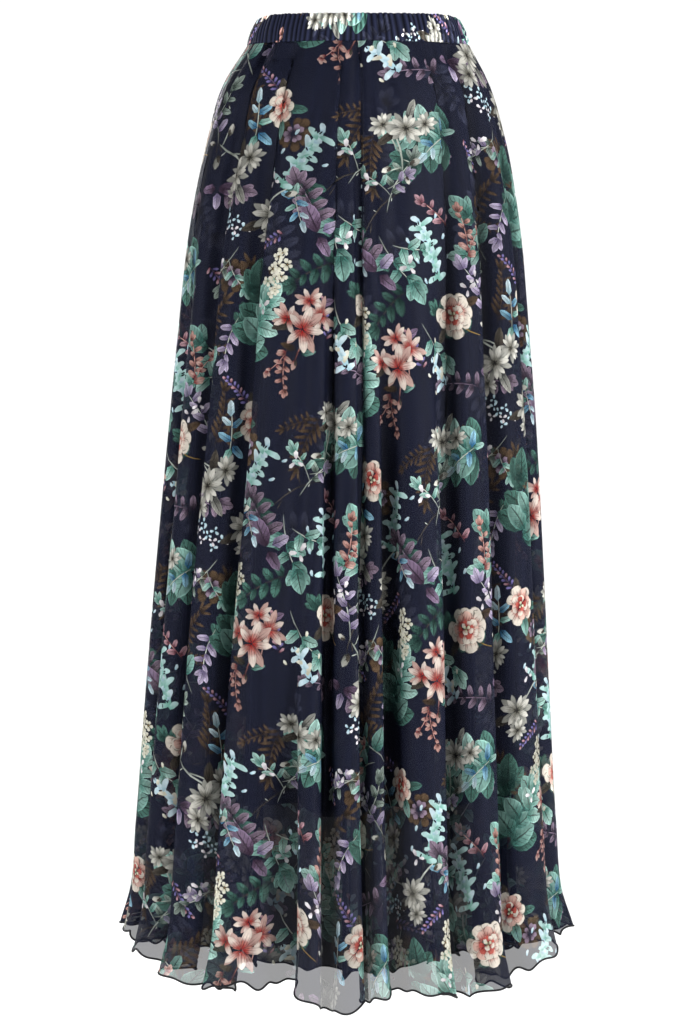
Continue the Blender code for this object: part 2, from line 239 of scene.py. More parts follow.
def folded(place, drop, fullness, shallower=1.0, clearance=0.0, finer=False, pleated=False):
    """The cloth at fold places and drops: from valley to valley it rises and falls as a cosine,
    while it swings sideways as two sines, so that a flute is rounder than its valleys.  Finer
    adds the creases, the band's gathers and the hem's ripples, and pleated the knife pleats."""
    index = np.floor(place).astype(int)
    phase = 2.0 * math.pi * (place - index)
    left = valley_angle(index, drop)
    right = valley_angle(index + 1, drop)
    depth = valley_depth(index, drop, fullness)
    next_depth = valley_depth(index + 1, drop, fullness)
    crest = fold_column(STANDS_BACK, index) * np.minimum(depth, next_depth)
    depth = depth + (next_depth - depth) * smooth(place - index)
    relief = (depth - crest) * (1.0 - np.cos(phase)) / 2.0 * shallower
    radius = (section(HALF_WIDTH, drop) + section(HALF_DEPTH, drop)) / 2.0
    span = np.radians(right - left) * radius
    formed = smooth((depth - crest) / (SWINGS_FROM * span))
    swing = fold_column(ROUND, index) / (4.0 * math.pi) * np.sin(2.0 * phase)
    swing = swing - fold_column(SWELL, index) * np.sin(phase)
    sideways = shallower * formed * span * swing + fold_column(LEAN, index) * formed * relief
    even = left + (right - left) * (place - index)
    angle = even + np.degrees(sideways / radius)
    inset = depth - relief + clearance
    low = smooth(1.0 - (SKIRT_LENGTH - drop) / RIPPLE_FROM)
    if finer:
        inset = inset + crease_depth(place, drop) - gathers_under_band(angle, drop)
        inset = inset + HEM_FLUTTER * hem_wave(even, 1.0) * low
    if pleated:
        laid = pleat(place, drop)
        inset = inset - PLEAT_RISE * laid
        angle = angle + np.degrees(PLEAT_OVER * laid / radius)
    points = ring_point(angle, inset, drop)
    hangs = fold_column(HANGS, index)
    hangs = hangs + (fold_column(HANGS, index + 1) - hangs) * smooth(place - index)
    points[..., 2] -= hangs * smooth((drop - HANGS_FROM) / (SKIRT_LENGTH - HANGS_FROM))
    if finer:
        points[..., 2] += HEM_SCALLOP * hem_wave(even, 0.0) * low ** 2
    return points


def pleat(place, drop):
    """Small knife pleats along some valleys under the band: 1 along the edge of the flute at the
    valley's left, which lies over the valley, and back to 0 where the cloth has turned under it."""
    index = np.floor(place).astype(int)
    share = place - index
    own = PLEATED[index % FOLD_COUNT] * (1.0 - smooth(share / PLEAT_RETURN))
    following = PLEATED[(index + 1) % FOLD_COUNT] * smooth(1.0 - (1.0 - share) / PLEAT_REACH) ** 2
    return (own + following) * pleat_fade(drop)


def pleat_fade(drop):
    """The pleats begin under the band, and open into the folds below."""
    return smooth((drop - PLEAT_STARTS) / PLEAT_FORMS) * smooth(2.0 * (1.0 - drop / PLEAT_ENDS))


def hem_wave(angle, start):
    """Ripples along the hem: three sines that close round it, stronger in some places."""
    turn = np.radians(angle)
    strength = 0.75 + 0.45 * np.sin(9.0 * turn + 1.7 * start)
    sines = [share * np.sin(count * turn + phase * start) for count, phase, share in HEM_RIPPLES]
    return strength * sum(sines)


def crease_depth(place, drop):
    """The soft creases: each is a bell curve across, and fades in and out along its run."""
    total = np.zeros(np.broadcast(place, drop).shape)
    for row in CREASES:
        along = (drop - row[CREASE_FROM]) / (row[CREASE_TO] - row[CREASE_FROM])
        centre = row[CREASE_TOP] + (row[CREASE_BOTTOM] - row[CREASE_TOP]) * along
        fades = smooth(3.0 * along + 0.2) * smooth(2.2 * (1.0 - along))
        total += row[CREASE_DEPTH] / 1000.0 * fades * np.exp(-((place - centre) / row[CREASE_HALF]) ** 2)
    return total


def gather_ridge(angle):
    """0 in the grooves and 1 on the ridges of the waistband's gathers: rounded ridges with sharp
    grooves between them, whose spacing drifts round the band."""
    turn = angle / 360.0
    drifted = turn + sum(shift * np.sin(2.0 * math.pi * waves * turn) for waves, shift in GATHER_DRIFT)
    return np.abs(np.cos(math.pi * GATHERS * drifted)) ** 0.75


def gather_wave(angle):
    """The gathers' height: their ridges, which are lower in some places than in others."""
    swell = (1.0 + np.sin(2.0 * math.pi * GATHER_SWELLS * angle / 360.0)) / 2.0
    return gather_ridge(angle) * (GATHER_LOWEST + (1.0 - GATHER_LOWEST) * swell)


def gathers_under_band(angle, drop):
    """The band's gathers run on into the panels, and fade there."""
    return RUN_ON_HEIGHT * gather_wave(angle) * np.exp(-np.maximum(drop, 0.0) / RUN_ON_DROP)


def fullness_table():
    """The share of their depth that the folds have at each drop, found by halving, so that the
    cloth's length round the skirt is the width that the panels are cut to."""
    drops = TABLE_DROPS[:, None]
    wanted = CUT_AT_WAIST + CUT_FLARE * np.maximum(TABLE_DROPS, GATHERED_DOWN_TO)
    places = np.linspace(0.0, FOLD_COUNT, TABLE_PLACES * FOLD_COUNT + 1)[None, :]
    low, high = np.zeros(len(drops)), np.full(len(drops), MOST_FULLNESS)
    for _ in range(HALVINGS):
        middle = (low + high) / 2.0
        points = folded(places + 0.0 * drops, drops + 0.0 * places, middle[:, None])
        around = np.linalg.norm(np.diff(points[..., :2], axis=1), axis=2).sum(1)
        low = np.where(around < wanted, middle, low)
        high = np.where(around < wanted, high, middle)
    return low


FULLNESS = fullness_table()


def fullness_at(drop):
    """The folds' share of their depth at a drop."""
    return np.interp(drop, TABLE_DROPS, FULLNESS)


def chiffon(place, drop):
    """Points of the chiffon, with its creases, gathers and ripples."""
    return folded(place, drop, fullness_at(drop), finer=True, pleated=True)


def fold_shade(place, drop):
    """Painted shade that the inks are multiplied by: 1 on the crests and less in the valleys, a bell
    curve from each valley and each pleat, painted light along each pleat's edge, darker below the lining."""
    index = np.floor(place).astype(int)
    share = place - index
    left = valley_depth(index, drop, 1.0) * np.exp(-(share / SHADE_RIGHT) ** 2)
    right = valley_depth(index + 1, drop, 1.0) * np.exp(-((1.0 - share) / SHADE_LEFT) ** 2)
    folds = np.clip(1.0 - SHADE_DEPTH * (left + right), SHADE_DARKEST, 1.0)
    beside = PLEATED[index % FOLD_COUNT] * np.exp(-(share / PLEAT_SHADE_REACH) ** 2)
    edge = PLEATED[(index + 1) % FOLD_COUNT] * np.exp(-((1.0 - share) / PLEAT_EDGE_REACH) ** 2)
    pleats = (1.0 - PLEAT_SHADE * beside * pleat_fade(drop)) * (1.0 + PLEAT_EDGE * edge * pleat_fade(drop))
    below = smooth((drop - LINING_LENGTH) / (SKIRT_LENGTH - LINING_LENGTH))
    return (1.0 - UNLINED_DIMMER * below) * folds * pleats


def lining(place, drop):
    """Points of the lining, which takes the folds shallower, inside their valleys."""
    inside = LINING_AT_WAIST + (LINING_CLEARANCE - LINING_AT_WAIST) * smooth(drop / LINING_FREE_FROM)
    return folded(place, drop, fullness_at(drop), LINING_FOLLOWS, inside)


def outward(points_at, first, second, step_first=1e-3, step_second=1e-3):
    """The surface's unit normals, out of the skirt, from small steps in its two numbers."""
    along = points_at(first + step_first, second) - points_at(first - step_first, second)
    down = points_at(first, second + step_second) - points_at(first, second - step_second)
    normal = np.cross(down, along)
    return normal / np.linalg.norm(normal, axis=-1, keepdims=True)


# ---- the flat cut: a gore is a sector of a ring, and the band's cloth a strip ---------------
GORE_WIDTH = CUT_AT_WAIST / len(PANELS)      # along its upper edge
GORE_TURN = CUT_FLARE / len(PANELS)          # the angle that the sector opens, in radians
GORE_RADIUS = GORE_WIDTH / GORE_TURN         # from the sector's centre to the upper edge
BAND_FULLNESS = 1.45        # cloth in the band for each length of the band itself
BAND_ROUND = 0.664          # length of the band's oval
BAND_CUT = BAND_ROUND * BAND_FULLNESS


def gore_to_cut(across, drop):
    """From a share of the width and a drop to the flat cut, measured from the sector's centre."""
    radius = GORE_RADIUS + drop
    turn = GORE_TURN * (across - 0.5)
    return radius * np.sin(turn), -radius * np.cos(turn)


def gore_from_cut(x, y):
    """And back again."""
    radius = np.hypot(x, y)
    return np.arctan2(x, -y) / GORE_TURN + 0.5, radius - GORE_RADIUS


def band_to_cut(across, down):
    """From a share of the way round and a distance down the band's cloth to its flat strip."""
    return across * BAND_CUT, -down


def band_from_cut(x, y):
    """And back again."""
    return x / BAND_CUT, -y


# ---- the print -----------------------------------------------------------------------------
def linear(code):
    """An sRGB hex colour turned to linear numbers."""
    parts = np.array([int(code[i:i + 2], 16) / 255.0 for i in (0, 2, 4)])
    return np.where(parts <= 0.04045, parts / 12.92, ((parts + 0.055) / 1.055) ** 2.4)


# inks: colour at a petal's root and at its tip
INKS = {
    "ground": ("171a2a", "171a2a"), "ghost": ("20222f", "303345"), "brown": ("2a211b", "584635"),
    "bark": ("2a2622", "4e4840"), "peony_edge": ("b04a40", "e8ded0"), "peony": ("9c2c2a", "e2baac"),
    "peony_deep": ("8a2424", "c45c52"), "heart": ("8c9c7c", "dcd8bc"), "lily": ("a42c28", "ecdcd0"),
    "lily_back": ("84383a", "ccaaa0"), "stamen": ("6a2422", "b87060"), "magnolia": ("747268", "d8d6cc"),
    "magnolia_shade": ("4a4c4a", "a2a29a"), "eye": ("20201c", "403c34"), "mint": ("568c80", "a6ccc2"),
    "teal": ("3a6860", "84aea4"), "pine": ("203e3a", "4c746a"), "sage": ("4a5a52", "a0b0a6"),
    "aqua": ("a2c6d2", "cce2ea"), "sea": ("7cb4a6", "b8dad8"), "sky": ("30688e", "8cbcd2"),
    "mauve": ("3c3040", "8c7a8c"), "plum": ("48364a", "84708a"), "lilac": ("74688a", "bcb0ca"),
    "rose": ("703c48", "bc949c"), "rust": ("6a3c38", "c89a90"), "twig": ("8c938a", "bec4ba"),
    "ochre": ("6a5024", "947840"), "cream": ("ccc8b0", "e6e4d4"), "white": ("c4bac0", "eeeaec"),
    "violet": ("3c3460", "7c74aa"),
}
INK_NAMES = list(INKS)
INK_ROOTS = np.array([linear(root) for root, _ in INKS.values()])
INK_TIPS = np.array([linear(tip) for _, tip in INKS.values()])
X, Y, TURN, LENGTH, HALF, WIDEST, POINTED, BEND, INK, VEINS, STREAKS, OUTLINE = range(12)

# kinds of petal: their form, and how strongly their lines are drawn
BROAD = {"pointed": 0.42, "widest": 1.5}
RUFFLED = {"pointed": 0.42, "widest": 1.5, "streaks": 1.0, "outline": 1.0}
LEAF = {"pointed": 0.8, "widest": 0.85}
RIMMED = {"pointed": 0.8, "widest": 0.85, "veins": 1.0, "outline": -0.7}
STRIPED = {"pointed": 0.8, "widest": 1.0, "streaks": 1.0, "outline": 0.7}


def petal(x, y, turn, length, half, ink, pointed=0.6, widest=1.0, bend=0.0, veins=0.0, streaks=0.0,
          outline=0.6):
    """One petal or leaf, in millimetres and degrees: its root, its direction, its size, how pointed
    its ends are, where along it is widest (above 1 near its tip), and how its lines are drawn."""
    return [x, y, turn, length, half, widest, pointed, bend, INK_NAMES.index(ink), veins, streaks, outline]


def leaf(x, y, turn, length, half, ink):
    """A veined leaf with a pale rim."""
    return petal(x, y, turn, length, half, ink, **RIMMED)


def stalk(x, y, turn, length, half, ink, bend=0.0, outline=0.0):
    """A thin stem of about even width."""
    return petal(x, y, turn, length, half, ink, pointed=0.3, bend=bend, outline=outline)


def ring(count, reach, length, half, ink, start=0.0, centre=(0.0, 0.0), **kinds):
    """Petals set round a centre, with their roots a reach away from it, and slightly uneven."""
    found = []
    for i in range(count):
        turn = start + 360.0 * i / count + 8.0 * math.sin(2.7 * i + start)
        a = math.radians(turn)
        size = 1.0 + 0.14 * math.sin(1.9 * i + 0.05 * start)
        found.append(petal(centre[0] + reach * math.cos(a), centre[1] + reach * math.sin(a), turn,
                           length * size, half * size, ink, **kinds))
    return found


def spray(count, stem, length, half, ink, spread=50.0, stem_ink="twig", stem_half=0.5, bend=0.25,
          smaller=0.4, low=0.10, **kinds):
    """A stem with leaves set in turn on its two sides, from a low share of it up, and three at its
    end, smaller towards it."""
    found = [stalk(0, 0, 90, stem, stem_half, stem_ink, bend)]
    for i in range(count):
        share = low + (0.84 - low) * i / max(count - 1, 1)
        side = 1 if i % 2 else -1
        size = (1.0 - smaller * share) * (1.0 + 0.12 * math.sin(2.3 * i))
        turn = 90 + side * spread * (1.15 - 0.4 * share) + 5 * math.sin(3.1 * i)
        found.append(petal(-bend * stem * share ** 2, stem * share, turn, length * size, half * size, ink,
                           bend=0.12 * side, **kinds))
    for turn, size in ((58, 0.72), (132, 0.76), (94 + 25 * bend, 0.95)):
        found.append(petal(-bend * stem, stem * 0.96, turn, length * size, half * size, ink, **kinds))
    return found


def shifted(petals, x, y, turn=0.0, size=1.0):
    """The petals turned about the point they are drawn round, scaled and moved."""
    a = math.radians(turn)
    moved = np.array(petals)
    across, up = moved[:, X].copy(), moved[:, Y].copy()
    moved[:, X] = x + size * (across * math.cos(a) - up * math.sin(a))
    moved[:, Y] = y + size * (across * math.sin(a) + up * math.cos(a))
    moved[:, TURN] += turn
    moved[:, LENGTH] *= size
    moved[:, HALF] *= size
    return moved.tolist()


# the motifs: each is drawn round its own middle, from its lowest petals up
def peony():
    """An open ruffled flower: rings of petals that get smaller towards its heart."""
    return ([stalk(8, -10, -40, 26, 0.6, "ochre", 0.3),
             leaf(-10, -10, 230, 20, 5.4, "bark"), leaf(12, 8, 20, 22, 5.0, "brown")]
            + ring(9, 8.5, 14.0, 7.0, "peony_edge", 10, **RUFFLED)
            + ring(7, 6.0, 12.5, 6.4, "peony_edge", 33, (1.8, 1.2), **RUFFLED)
            + ring(6, 4.0, 11.0, 5.4, "peony", 5, (-1.8, 1.4), **RUFFLED)
            + ring(5, 3.0, 9.0, 4.6, "peony_edge", 47, (2.4, -1.8), **RUFFLED)
            + ring(5, 1.8, 7.6, 3.8, "peony_deep", 15, (-1.4, -1.2), **RUFFLED)
            + ring(4, 1.2, 6.0, 3.0, "peony_edge", 60, (1.2, 1.0), **RUFFLED)
            + ring(3, 0.4, 3.6, 1.6, "heart", 20, (0.4, 0.0), outline=0.8, **BROAD))


def half_peony():
    """A smaller peony, half open."""
    leaves = [leaf(-6, -8, 225, 22, 5.4, "teal"), leaf(4, -9, 300, 20, 5.0, "pine"),
              leaf(6, 6, 50, 20, 4.4, "bark")]
    return (leaves + ring(7, 6.5, 12.0, 6.0, "peony_edge", 0, **RUFFLED)
            + ring(6, 4.0, 10.0, 5.0, "peony", 25, (1.4, -1.0), **RUFFLED)
            + ring(5, 2.4, 8.0, 4.0, "peony_edge", 8, (-1.4, 1.2), **RUFFLED)
            + ring(4, 1.2, 6.0, 3.0, "peony_deep", 40, (0.8, 0.6), **RUFFLED)
            + ring(3, 0.3, 3.4, 1.5, "heart", 50, outline=0.7, **BROAD))


def one_lily():
    """Five pointed petals over four darker ones."""
    return (ring(4, 1.0, 23, 4.6, "lily_back", 40, **STRIPED) + ring(5, 1.0, 21, 4.9, "lily", 0, **STRIPED)
            + ring(5, 0.0, 11, 0.45, "stamen", 20, pointed=0.3, outline=0.0))


def bud(x, y, turn, length, ink):
    """A closed flower and the leaf beside it."""
    return [petal(x, y, turn, length, 0.30 * length, ink, **STRIPED),
            petal(x, y, turn + 16, 0.6 * length, 0.16 * length, "bark", **LEAF)]


def lilies():
    """Four lilies and a bud on two stems."""
    made = [stalk(-4, -36, 80, 38, 0.8, "rust", -0.2),
            stalk(8, -30, 70, 30, 0.6, "rust", 0.2),
            leaf(-4, -24, 165, 18, 3.9, "brown"), leaf(2, -28, 20, 16, 3.6, "teal"),
            leaf(-8, 4, 200, 26, 5.0, "bark"), leaf(10, 22, 30, 24, 4.8, "plum")]
    return (made + bud(-3, -34, 255, 12, "lily_back") + shifted(one_lily(), 17, 15, 35, 0.80)
            + shifted(one_lily(), -17, 6, 70, 0.72) + shifted(one_lily(), 4, 28, 120, 0.62)
            + shifted(one_lily(), 0, -2, 0, 1.0))


def one_magnolia():
    """Seven pale petals over seven darker ones."""
    return (ring(7, 1.5, 17, 3.5, "magnolia_shade", 28, **STRIPED)
            + ring(7, 1.0, 15, 3.4, "magnolia", 0, **STRIPED)
            + ring(7, 0.0, 3.6, 0.8, "eye", 25, outline=0.0))


def magnolias():
    """Three magnolias and three buds on a crooked branch."""
    made = [stalk(-24, 34, -56, 46, 1.0, "twig", 0.3, 0.3),
            stalk(-13, 20, -5, 24, 0.8, "twig", -0.35, 0.3),
            stalk(-22, 31, 40, 13, 0.7, "twig", 0.3),
            stalk(-17, 24, 200, 7, 0.6, "twig"),
            leaf(6, 6, 75, 24, 5.0, "bark"), leaf(4, -12, -70, 24, 4.6, "magnolia_shade")]
    return (made + bud(-13, 38, 65, 12, "magnolia") + bud(-26, 24, -112, 14, "magnolia_shade")
            + bud(-30, 36, 150, 9, "magnolia") + shifted(one_magnolia(), 20, 8, 30, 0.78)
            + shifted(one_magnolia(), -12, -22, 60, 0.7) + shifted(one_magnolia(), 0, -4, 5, 1.0))


def magnolia():
    """Two magnolias and a bud."""
    made = [stalk(2, 10, 100, 26, 0.8, "twig", -0.3),
            leaf(0, -8, -120, 22, 4.4, "bark")]
    return (made + bud(8, 31, 60, 11, "magnolia") + shifted(one_magnolia(), 0, 0, 15, 0.95)
            + shifted(one_magnolia(), 13, -13, 50, 0.6))


def mint_sprig():
    """Broad pale green leaves on the upper part of a bent stem."""
    return spray(4, 44, 19, 6.2, "mint", bend=0.4, low=0.4, **RIMMED)


def sage_sprig():
    """A pale crooked branch with small grey-green leaves and a few mauve ones."""
    return (spray(5, 50, 15, 3.6, "sage", bend=-0.35, low=0.35, **RIMMED)
            + shifted(spray(4, 30, 13, 3.2, "mint", stem_half=0.4, low=0.4, **RIMMED), 3, 14, 45)
            + shifted(spray(3, 20, 12, 3.2, "lilac", stem_half=0.4, low=0.4, **RIMMED), -2, 20, -60))


def grey_sprig():
    """Narrow lilac leaves, and grey-green ones at the side."""
    return (spray(7, 58, 16, 4.4, "lilac", bend=0.3, low=0.2, spread=44, **RIMMED)
            + shifted(spray(4, 30, 15, 4.0, "sage", low=0.3, **RIMMED), -4, 26, -60))


def teal_leaves():
    """A full clump of dark, middle and light green leaves."""
    low = spray(6, 40, 24, 8.0, "pine", spread=66, stem_ink="pine", **RIMMED)
    middle = spray(6, 36, 22, 7.4, "teal", spread=44, stem_ink="pine", bend=-0.3, **RIMMED)
    return low + middle + shifted(spray(4, 18, 17, 5.4, "mint", stem_ink="pine", **RIMMED), 8, 20, -30)


def teal_branch():
    """A looser branch with middle and light green leaves."""
    low = spray(4, 48, 23, 7.6, "teal", spread=56, low=0.35, **RIMMED)
    return low + shifted(spray(4, 28, 17, 5.4, "mint", low=0.3, **RIMMED), -8, 12, 50)


def dark_leaves():
    """Dark green leaves on a dark stem."""
    return spray(7, 48, 20, 6.2, "pine", spread=54, stem_ink="bark", veins=1.0, outline=0.4, **LEAF)


def holes(count, reach_x, reach_y):
    """Small gaps in a silhouette, in the ground's colour."""
    made = []
    for i in range(count):
        x, y = reach_x * math.sin(2.9 * i + 0.5), reach_y * math.sin(1.3 * i + 0.2)
        made.append(petal(x, y, 77 * i, 4.0, 0.8, "ground", outline=0.0))
    return made


def silhouette(count, stem, length, half, inks):
    """A bough in flat colour: a thick stem with lobes crowded on both sides and a few loose ones."""
    made = [petal(0, -0.5 * stem, 84, stem, 0.085 * stem, inks[0], pointed=0.5, bend=0.12, outline=0.0)]
    for i in range(count):
        y = -0.5 * stem + stem * i / count
        side = 1 if i % 2 else -1
        kind = {"pointed": 0.5, "widest": 1.3, "bend": 0.25 * side, "outline": 0.0}
        reach = length * (0.75 + 0.4 * math.sin(1.3 * i))
        turn = 90 + side * (48 + 26 * math.sin(2.1 * i))
        made.append(petal(0.5 * side, y, turn, reach, half, inks[i % len(inks)], **kind))
        if i % 3 == 0:
            made.append(petal(side * 1.25 * length, y + 4, 70 - 40 * side, 0.42 * length, 0.55 * half,
                              inks[-1], **kind))
    return made + holes(count // 2, 0.5 * length, 0.42 * stem)


def sea_blots():
    """A bough in flat sea green and pale blue."""
    return silhouette(18, 58, 14, 2.9, ("sea", "sea", "aqua"))


def aqua_blots():
    """A smaller one in pale blue and cream."""
    return silhouette(10, 34, 11, 2.6, ("aqua", "aqua", "cream"))


def sky_sprig():
    """Seven narrow leaves, blue and green, on one stem."""
    leaves = ((-1, -6, 18, 13, "mint"), (-1, -10, 150, 15, "sky"), (-2, 2, 40, 14, "sky"),
              (-3, 4, 140, 12, "aqua"), (-4, 12, 96, 15, "aqua"), (0, -14, -40, 17, "sky"),
              (-1, -16, 250, 15, "mint"))
    return ([stalk(-2, -22, 84, 36, 0.5, "twig", 0.15)]
            + [leaf(x, y, turn, length, 0.24 * length, ink) for x, y, turn, length, ink in leaves])


def plum_leaves():
    """Mauve leaves with one large plum one over them."""
    low = spray(7, 38, 19, 5.8, "mauve", spread=60, stem_ink="mauve", **RIMMED)
    return low + [petal(0, -8, 104, 29, 7.6, "plum", pointed=0.7, veins=1.0, outline=-0.6),
                  leaf(4, -8, 15, 18, 5.6, "lilac"), leaf(0, -12, -72, 20, 5.6, "plum")]


def mauve_sprig():
    """Small mauve leaves on both sides of a stem."""
    return spray(8, 48, 14, 3.8, "mauve", spread=58, stem_ink="mauve", **RIMMED)


def lilac_sprig():
    """The same in lilac, with fewer leaves."""
    return spray(6, 40, 15, 3.7, "lilac", spread=50, low=0.25, **RIMMED)


def coral_sprig():
    """Oval leaves on a branch and its twig."""
    oval = {"pointed": 0.6, "widest": 1.0, "veins": 0.8, "outline": 0.6, "smaller": 0.3}
    return (spray(8, 42, 10, 2.9, "rust", spread=55, stem_ink="rust", **oval)
            + spray(5, 28, 9, 2.7, "lily_back", spread=62, stem_ink="rust", bend=-0.45, **oval))


def rose_sprig():
    """Narrow rose leaves."""
    return spray(6, 34, 12, 3.2, "rose", spread=50, stem_ink="rust", **RIMMED)


def cream_cluster():
    """A spike of ten small flowers with ochre centres."""
    made = []
    for i in range(10):
        x, y = 6.5 * math.sin(2.0 * i + 0.4), -21 + 4.6 * i
        made += ring(5, 1.2, 5.0, 2.3, "cream", 40 * i, (x, y), outline=0.7, **BROAD)
        made += [petal(x - 0.9, y, 0, 2.0, 0.8, "ochre", outline=0.0)]
    return made + holes(5, 5, 17)


def pale_cluster():
    """Twelve tiny flowers of three petals each."""
    made = []
    for i in range(12):
        x, y = 8.5 * math.sin(1.7 * i + 0.9), -22 + 4.0 * i
        made += ring(3, 0.8, 4.6, 1.5, "aqua" if i % 3 else "white", 33 * i, (x, y), outline=0.0, **BROAD)
    return made


def three_petals():
    """Three fallen petals."""
    return ring(3, 1.6, 7.2, 2.0, "white", 25, outline=0.2, **BROAD)


def violet_spike():
    """Florets up one bent stalk, shorter towards its tip."""
    made = [stalk(0, -16, 88, 40, 0.5, "mauve", 0.2)]
    for i in range(16):
        y = -14 + 2.4 * i
        side = 1 if i % 2 else -1
        made.append(petal(-0.0025 * (y + 16) ** 2, y, 90 + side * (56 - 1.5 * i), 7.6 - 0.22 * i, 1.4,
                          "violet" if i % 3 else "rose", outline=0.3, **BROAD))
    return made


def dim_fern():
    """A fern in faded brown, and a smaller frond."""
    fern = spray(14, 56, 16, 2.2, "brown", spread=42, stem_ink="brown", veins=0.3, outline=0.0, **LEAF)
    small = spray(9, 30, 11, 1.7, "brown", stem_ink="brown", veins=0.3, outline=0.0, **LEAF)
    return fern + shifted(small, 4, 10, -50)


def dim_leaves():
    """Leaves hardly lighter than the ground."""
    return spray(9, 50, 20, 5.0, "ghost", spread=60, stem_ink="ghost", veins=0.6, outline=0.0, **LEAF)


def dim_flower():
    """A faded flower."""
    return (ring(9, 5, 12, 4.6, "brown", 0, streaks=0.8, outline=0.8, **BROAD)
            + ring(7, 2, 8, 3.0, "mauve", 20, streaks=0.8, outline=0.8, **BROAD))


def thorny_twig():
    """A bent bare twig with a few thorns."""
    return [stalk(0, 0, 90, 50, 0.6, "bark", 0.45),
            stalk(-4, 20, 30, 17, 0.45, "bark", -0.3),
            stalk(-16, 40, 150, 11, 0.45, "bark"),
            petal(-1.5, 11, 150, 4, 0.5, "twig", pointed=0.4, outline=0.0),
            petal(-9, 31, 40, 4, 0.5, "twig", outline=0.0)]


# one repeat of the print, from the lowest layer up: motif, place in millimetres, turn, size
REPEAT_WIDTH, REPEAT_HEIGHT = 0.290, 0.320
MOTIF_SCALE = 1.15
MOTIF_REACH = 0.05          # a motif further than this outside the cloth is left out
TONE_SEED = 11              # the shades' own random numbers
TONE = 0.85                 # how light the inks are printed
MOTIF_TONES = 0.10          # how much that differs from motif to motif
PETAL_TONES = 0.05          # and from petal to petal
REPEAT = [
    (dim_leaves, 60, 92, 10, 1.1), (dim_leaves, 190, 24, 200, 1.0), (dim_leaves, 250, 215, 120, 1.1),
    (dim_leaves, 110, 250, -40, 1.0), (dim_leaves, 150, 162, 80, 1.0), (dim_fern, 36, 46, 20, 1.0),
    (dim_fern, 214, 178, -60, 1.0), (dim_fern, 118, 280, 150, 0.9), (dim_fern, 262, 74, -20, 0.9),
    (dim_fern, 176, 240, 30, 0.9), (dim_flower, 270, 250, 80, 0.9), (dim_flower, 40, 236, 10, 0.9),
    (dark_leaves, 190, 60, 40, 0.9), (dark_leaves, 60, 196, 200, 0.9), (dark_leaves, 280, 186, -30, 0.9),
    (dark_leaves, 112, 116, 110, 0.9), (thorny_twig, 240, 120, 140, 1.0),
    (thorny_twig, 130, 214, 100, 0.9), (violet_spike, 110, 52, 10, 0.95),
    (violet_spike, 226, 250, -150, 0.9), (violet_spike, 286, 130, 40, 0.9),
    (violet_spike, 40, 128, 120, 0.85), (mauve_sprig, 204, 8, 70, 1.0),
    (mauve_sprig, 160, 292, 200, 0.95), (teal_leaves, 14, 8, -10, 1.4), (teal_leaves, 204, 268, 100, 1.3),
    (teal_branch, 252, 138, 30, 1.15), (teal_branch, 96, 176, 190, 1.05),
    (mint_sprig, 120, 82, -160, 1.05), (grey_sprig, 224, 70, 10, 1.0), (sage_sprig, 110, 196, -20, 1.05),
    (sage_sprig, 276, 280, 150, 1.0), (sea_blots, 150, 152, 15, 1.0), (sea_blots, 54, 212, -25, 1.0),
    (aqua_blots, 142, 30, 40, 1.1), (plum_leaves, 82, 150, 20, 1.0), (plum_leaves, 236, 20, -110, 0.85),
    (lilac_sprig, 278, 208, 150, 1.0), (coral_sprig, 200, 140, -10, 1.0),
    (coral_sprig, 70, 20, 170, 0.85), (rose_sprig, 178, 172, 30, 1.0), (pale_cluster, 262, 304, 60, 0.85),
    (cream_cluster, 52, 96, -15, 0.85), (sky_sprig, 282, 92, 0, 1.0), (sky_sprig, 176, 260, 120, 0.95),
    (sky_sprig, 60, 160, 200, 0.8), (lilies, 84, 44, 0, 0.85), (magnolias, 258, 38, 10, 0.95),
    (magnolias, 146, 274, 130, 0.85), (magnolia, 16, 152, -40, 1.0), (peony, 174, 84, 0, 0.92),
    (half_peony, 16, 262, 60, 0.95), (three_petals, 196, 110, 0, 1.0), (three_petals, 206, 120, 60, 0.8),
    (three_petals, 120, 140, 40, 1.1), (three_petals, 30, 188, 90, 0.9),
    (three_petals, 100, 230, 80, 1.0), (three_petals, 250, 262, 10, 0.95),
    (three_petals, 240, 254, 70, 0.8), (three_petals, 40, 60, 20, 0.9),
]


def scattered(low, high, origin):
    """Every petal of the print that may reach the box from low to high of the flat cut, in metres.
    The repeat is laid with each column half a height below the last."""
    drawn = [(motif(), x / 1000.0, y / 1000.0, turn, size) for motif, x, y, turn, size in REPEAT]
    tone = np.random.default_rng(TONE_SEED)
    found, shades = [], []
    first = np.floor((low - origin) / (REPEAT_WIDTH, REPEAT_HEIGHT)).astype(int) - 1
    last = np.ceil((high - origin) / (REPEAT_WIDTH, REPEAT_HEIGHT)).astype(int) + 1
    for column in range(first[0], last[0]):
        for row in range(first[1], last[1]):
            corner = origin + (column * REPEAT_WIDTH, (row + 0.5 * (column % 2)) * REPEAT_HEIGHT)
            for petals, x, y, turn, size in drawn:
                shade = TONE + MOTIF_TONES * tone.standard_normal()
                middle = corner + (x, y)
                if (middle < low - MOTIF_REACH).any() or (middle > high + MOTIF_REACH).any():
                    continue
                found.append(shifted(petals, *middle, turn, MOTIF_SCALE * size / 1000.0))
                shades.append(shade * (1.0 + PETAL_TONES * tone.standard_normal(len(petals))))
    return np.concatenate(found), np.concatenate(shades)


# an outline's points, as shares of the petal's length: up one side and down the other
OUTLINE_STEPS = np.array([0.0, 0.07, 0.25, 0.5, 0.75, 0.93, 1.0])
OUTLINE_SHARES = np.concatenate((OUTLINE_STEPS, OUTLINE_STEPS[-2:0:-1]))
SMALL_PETAL = 0.0240        # petals shorter than this
LEFT_OUT = (0.07, 0.5)      # leave out these steps
SMALLEST_PETAL = 0.0105     # and petals shorter than this
LEFT_OUT_TOO = (0.93,)      # these too
ALL_TRIANGLES = 0           # what the triangulation gives
SAME_POINT = 1e-7           # points closer than this are one


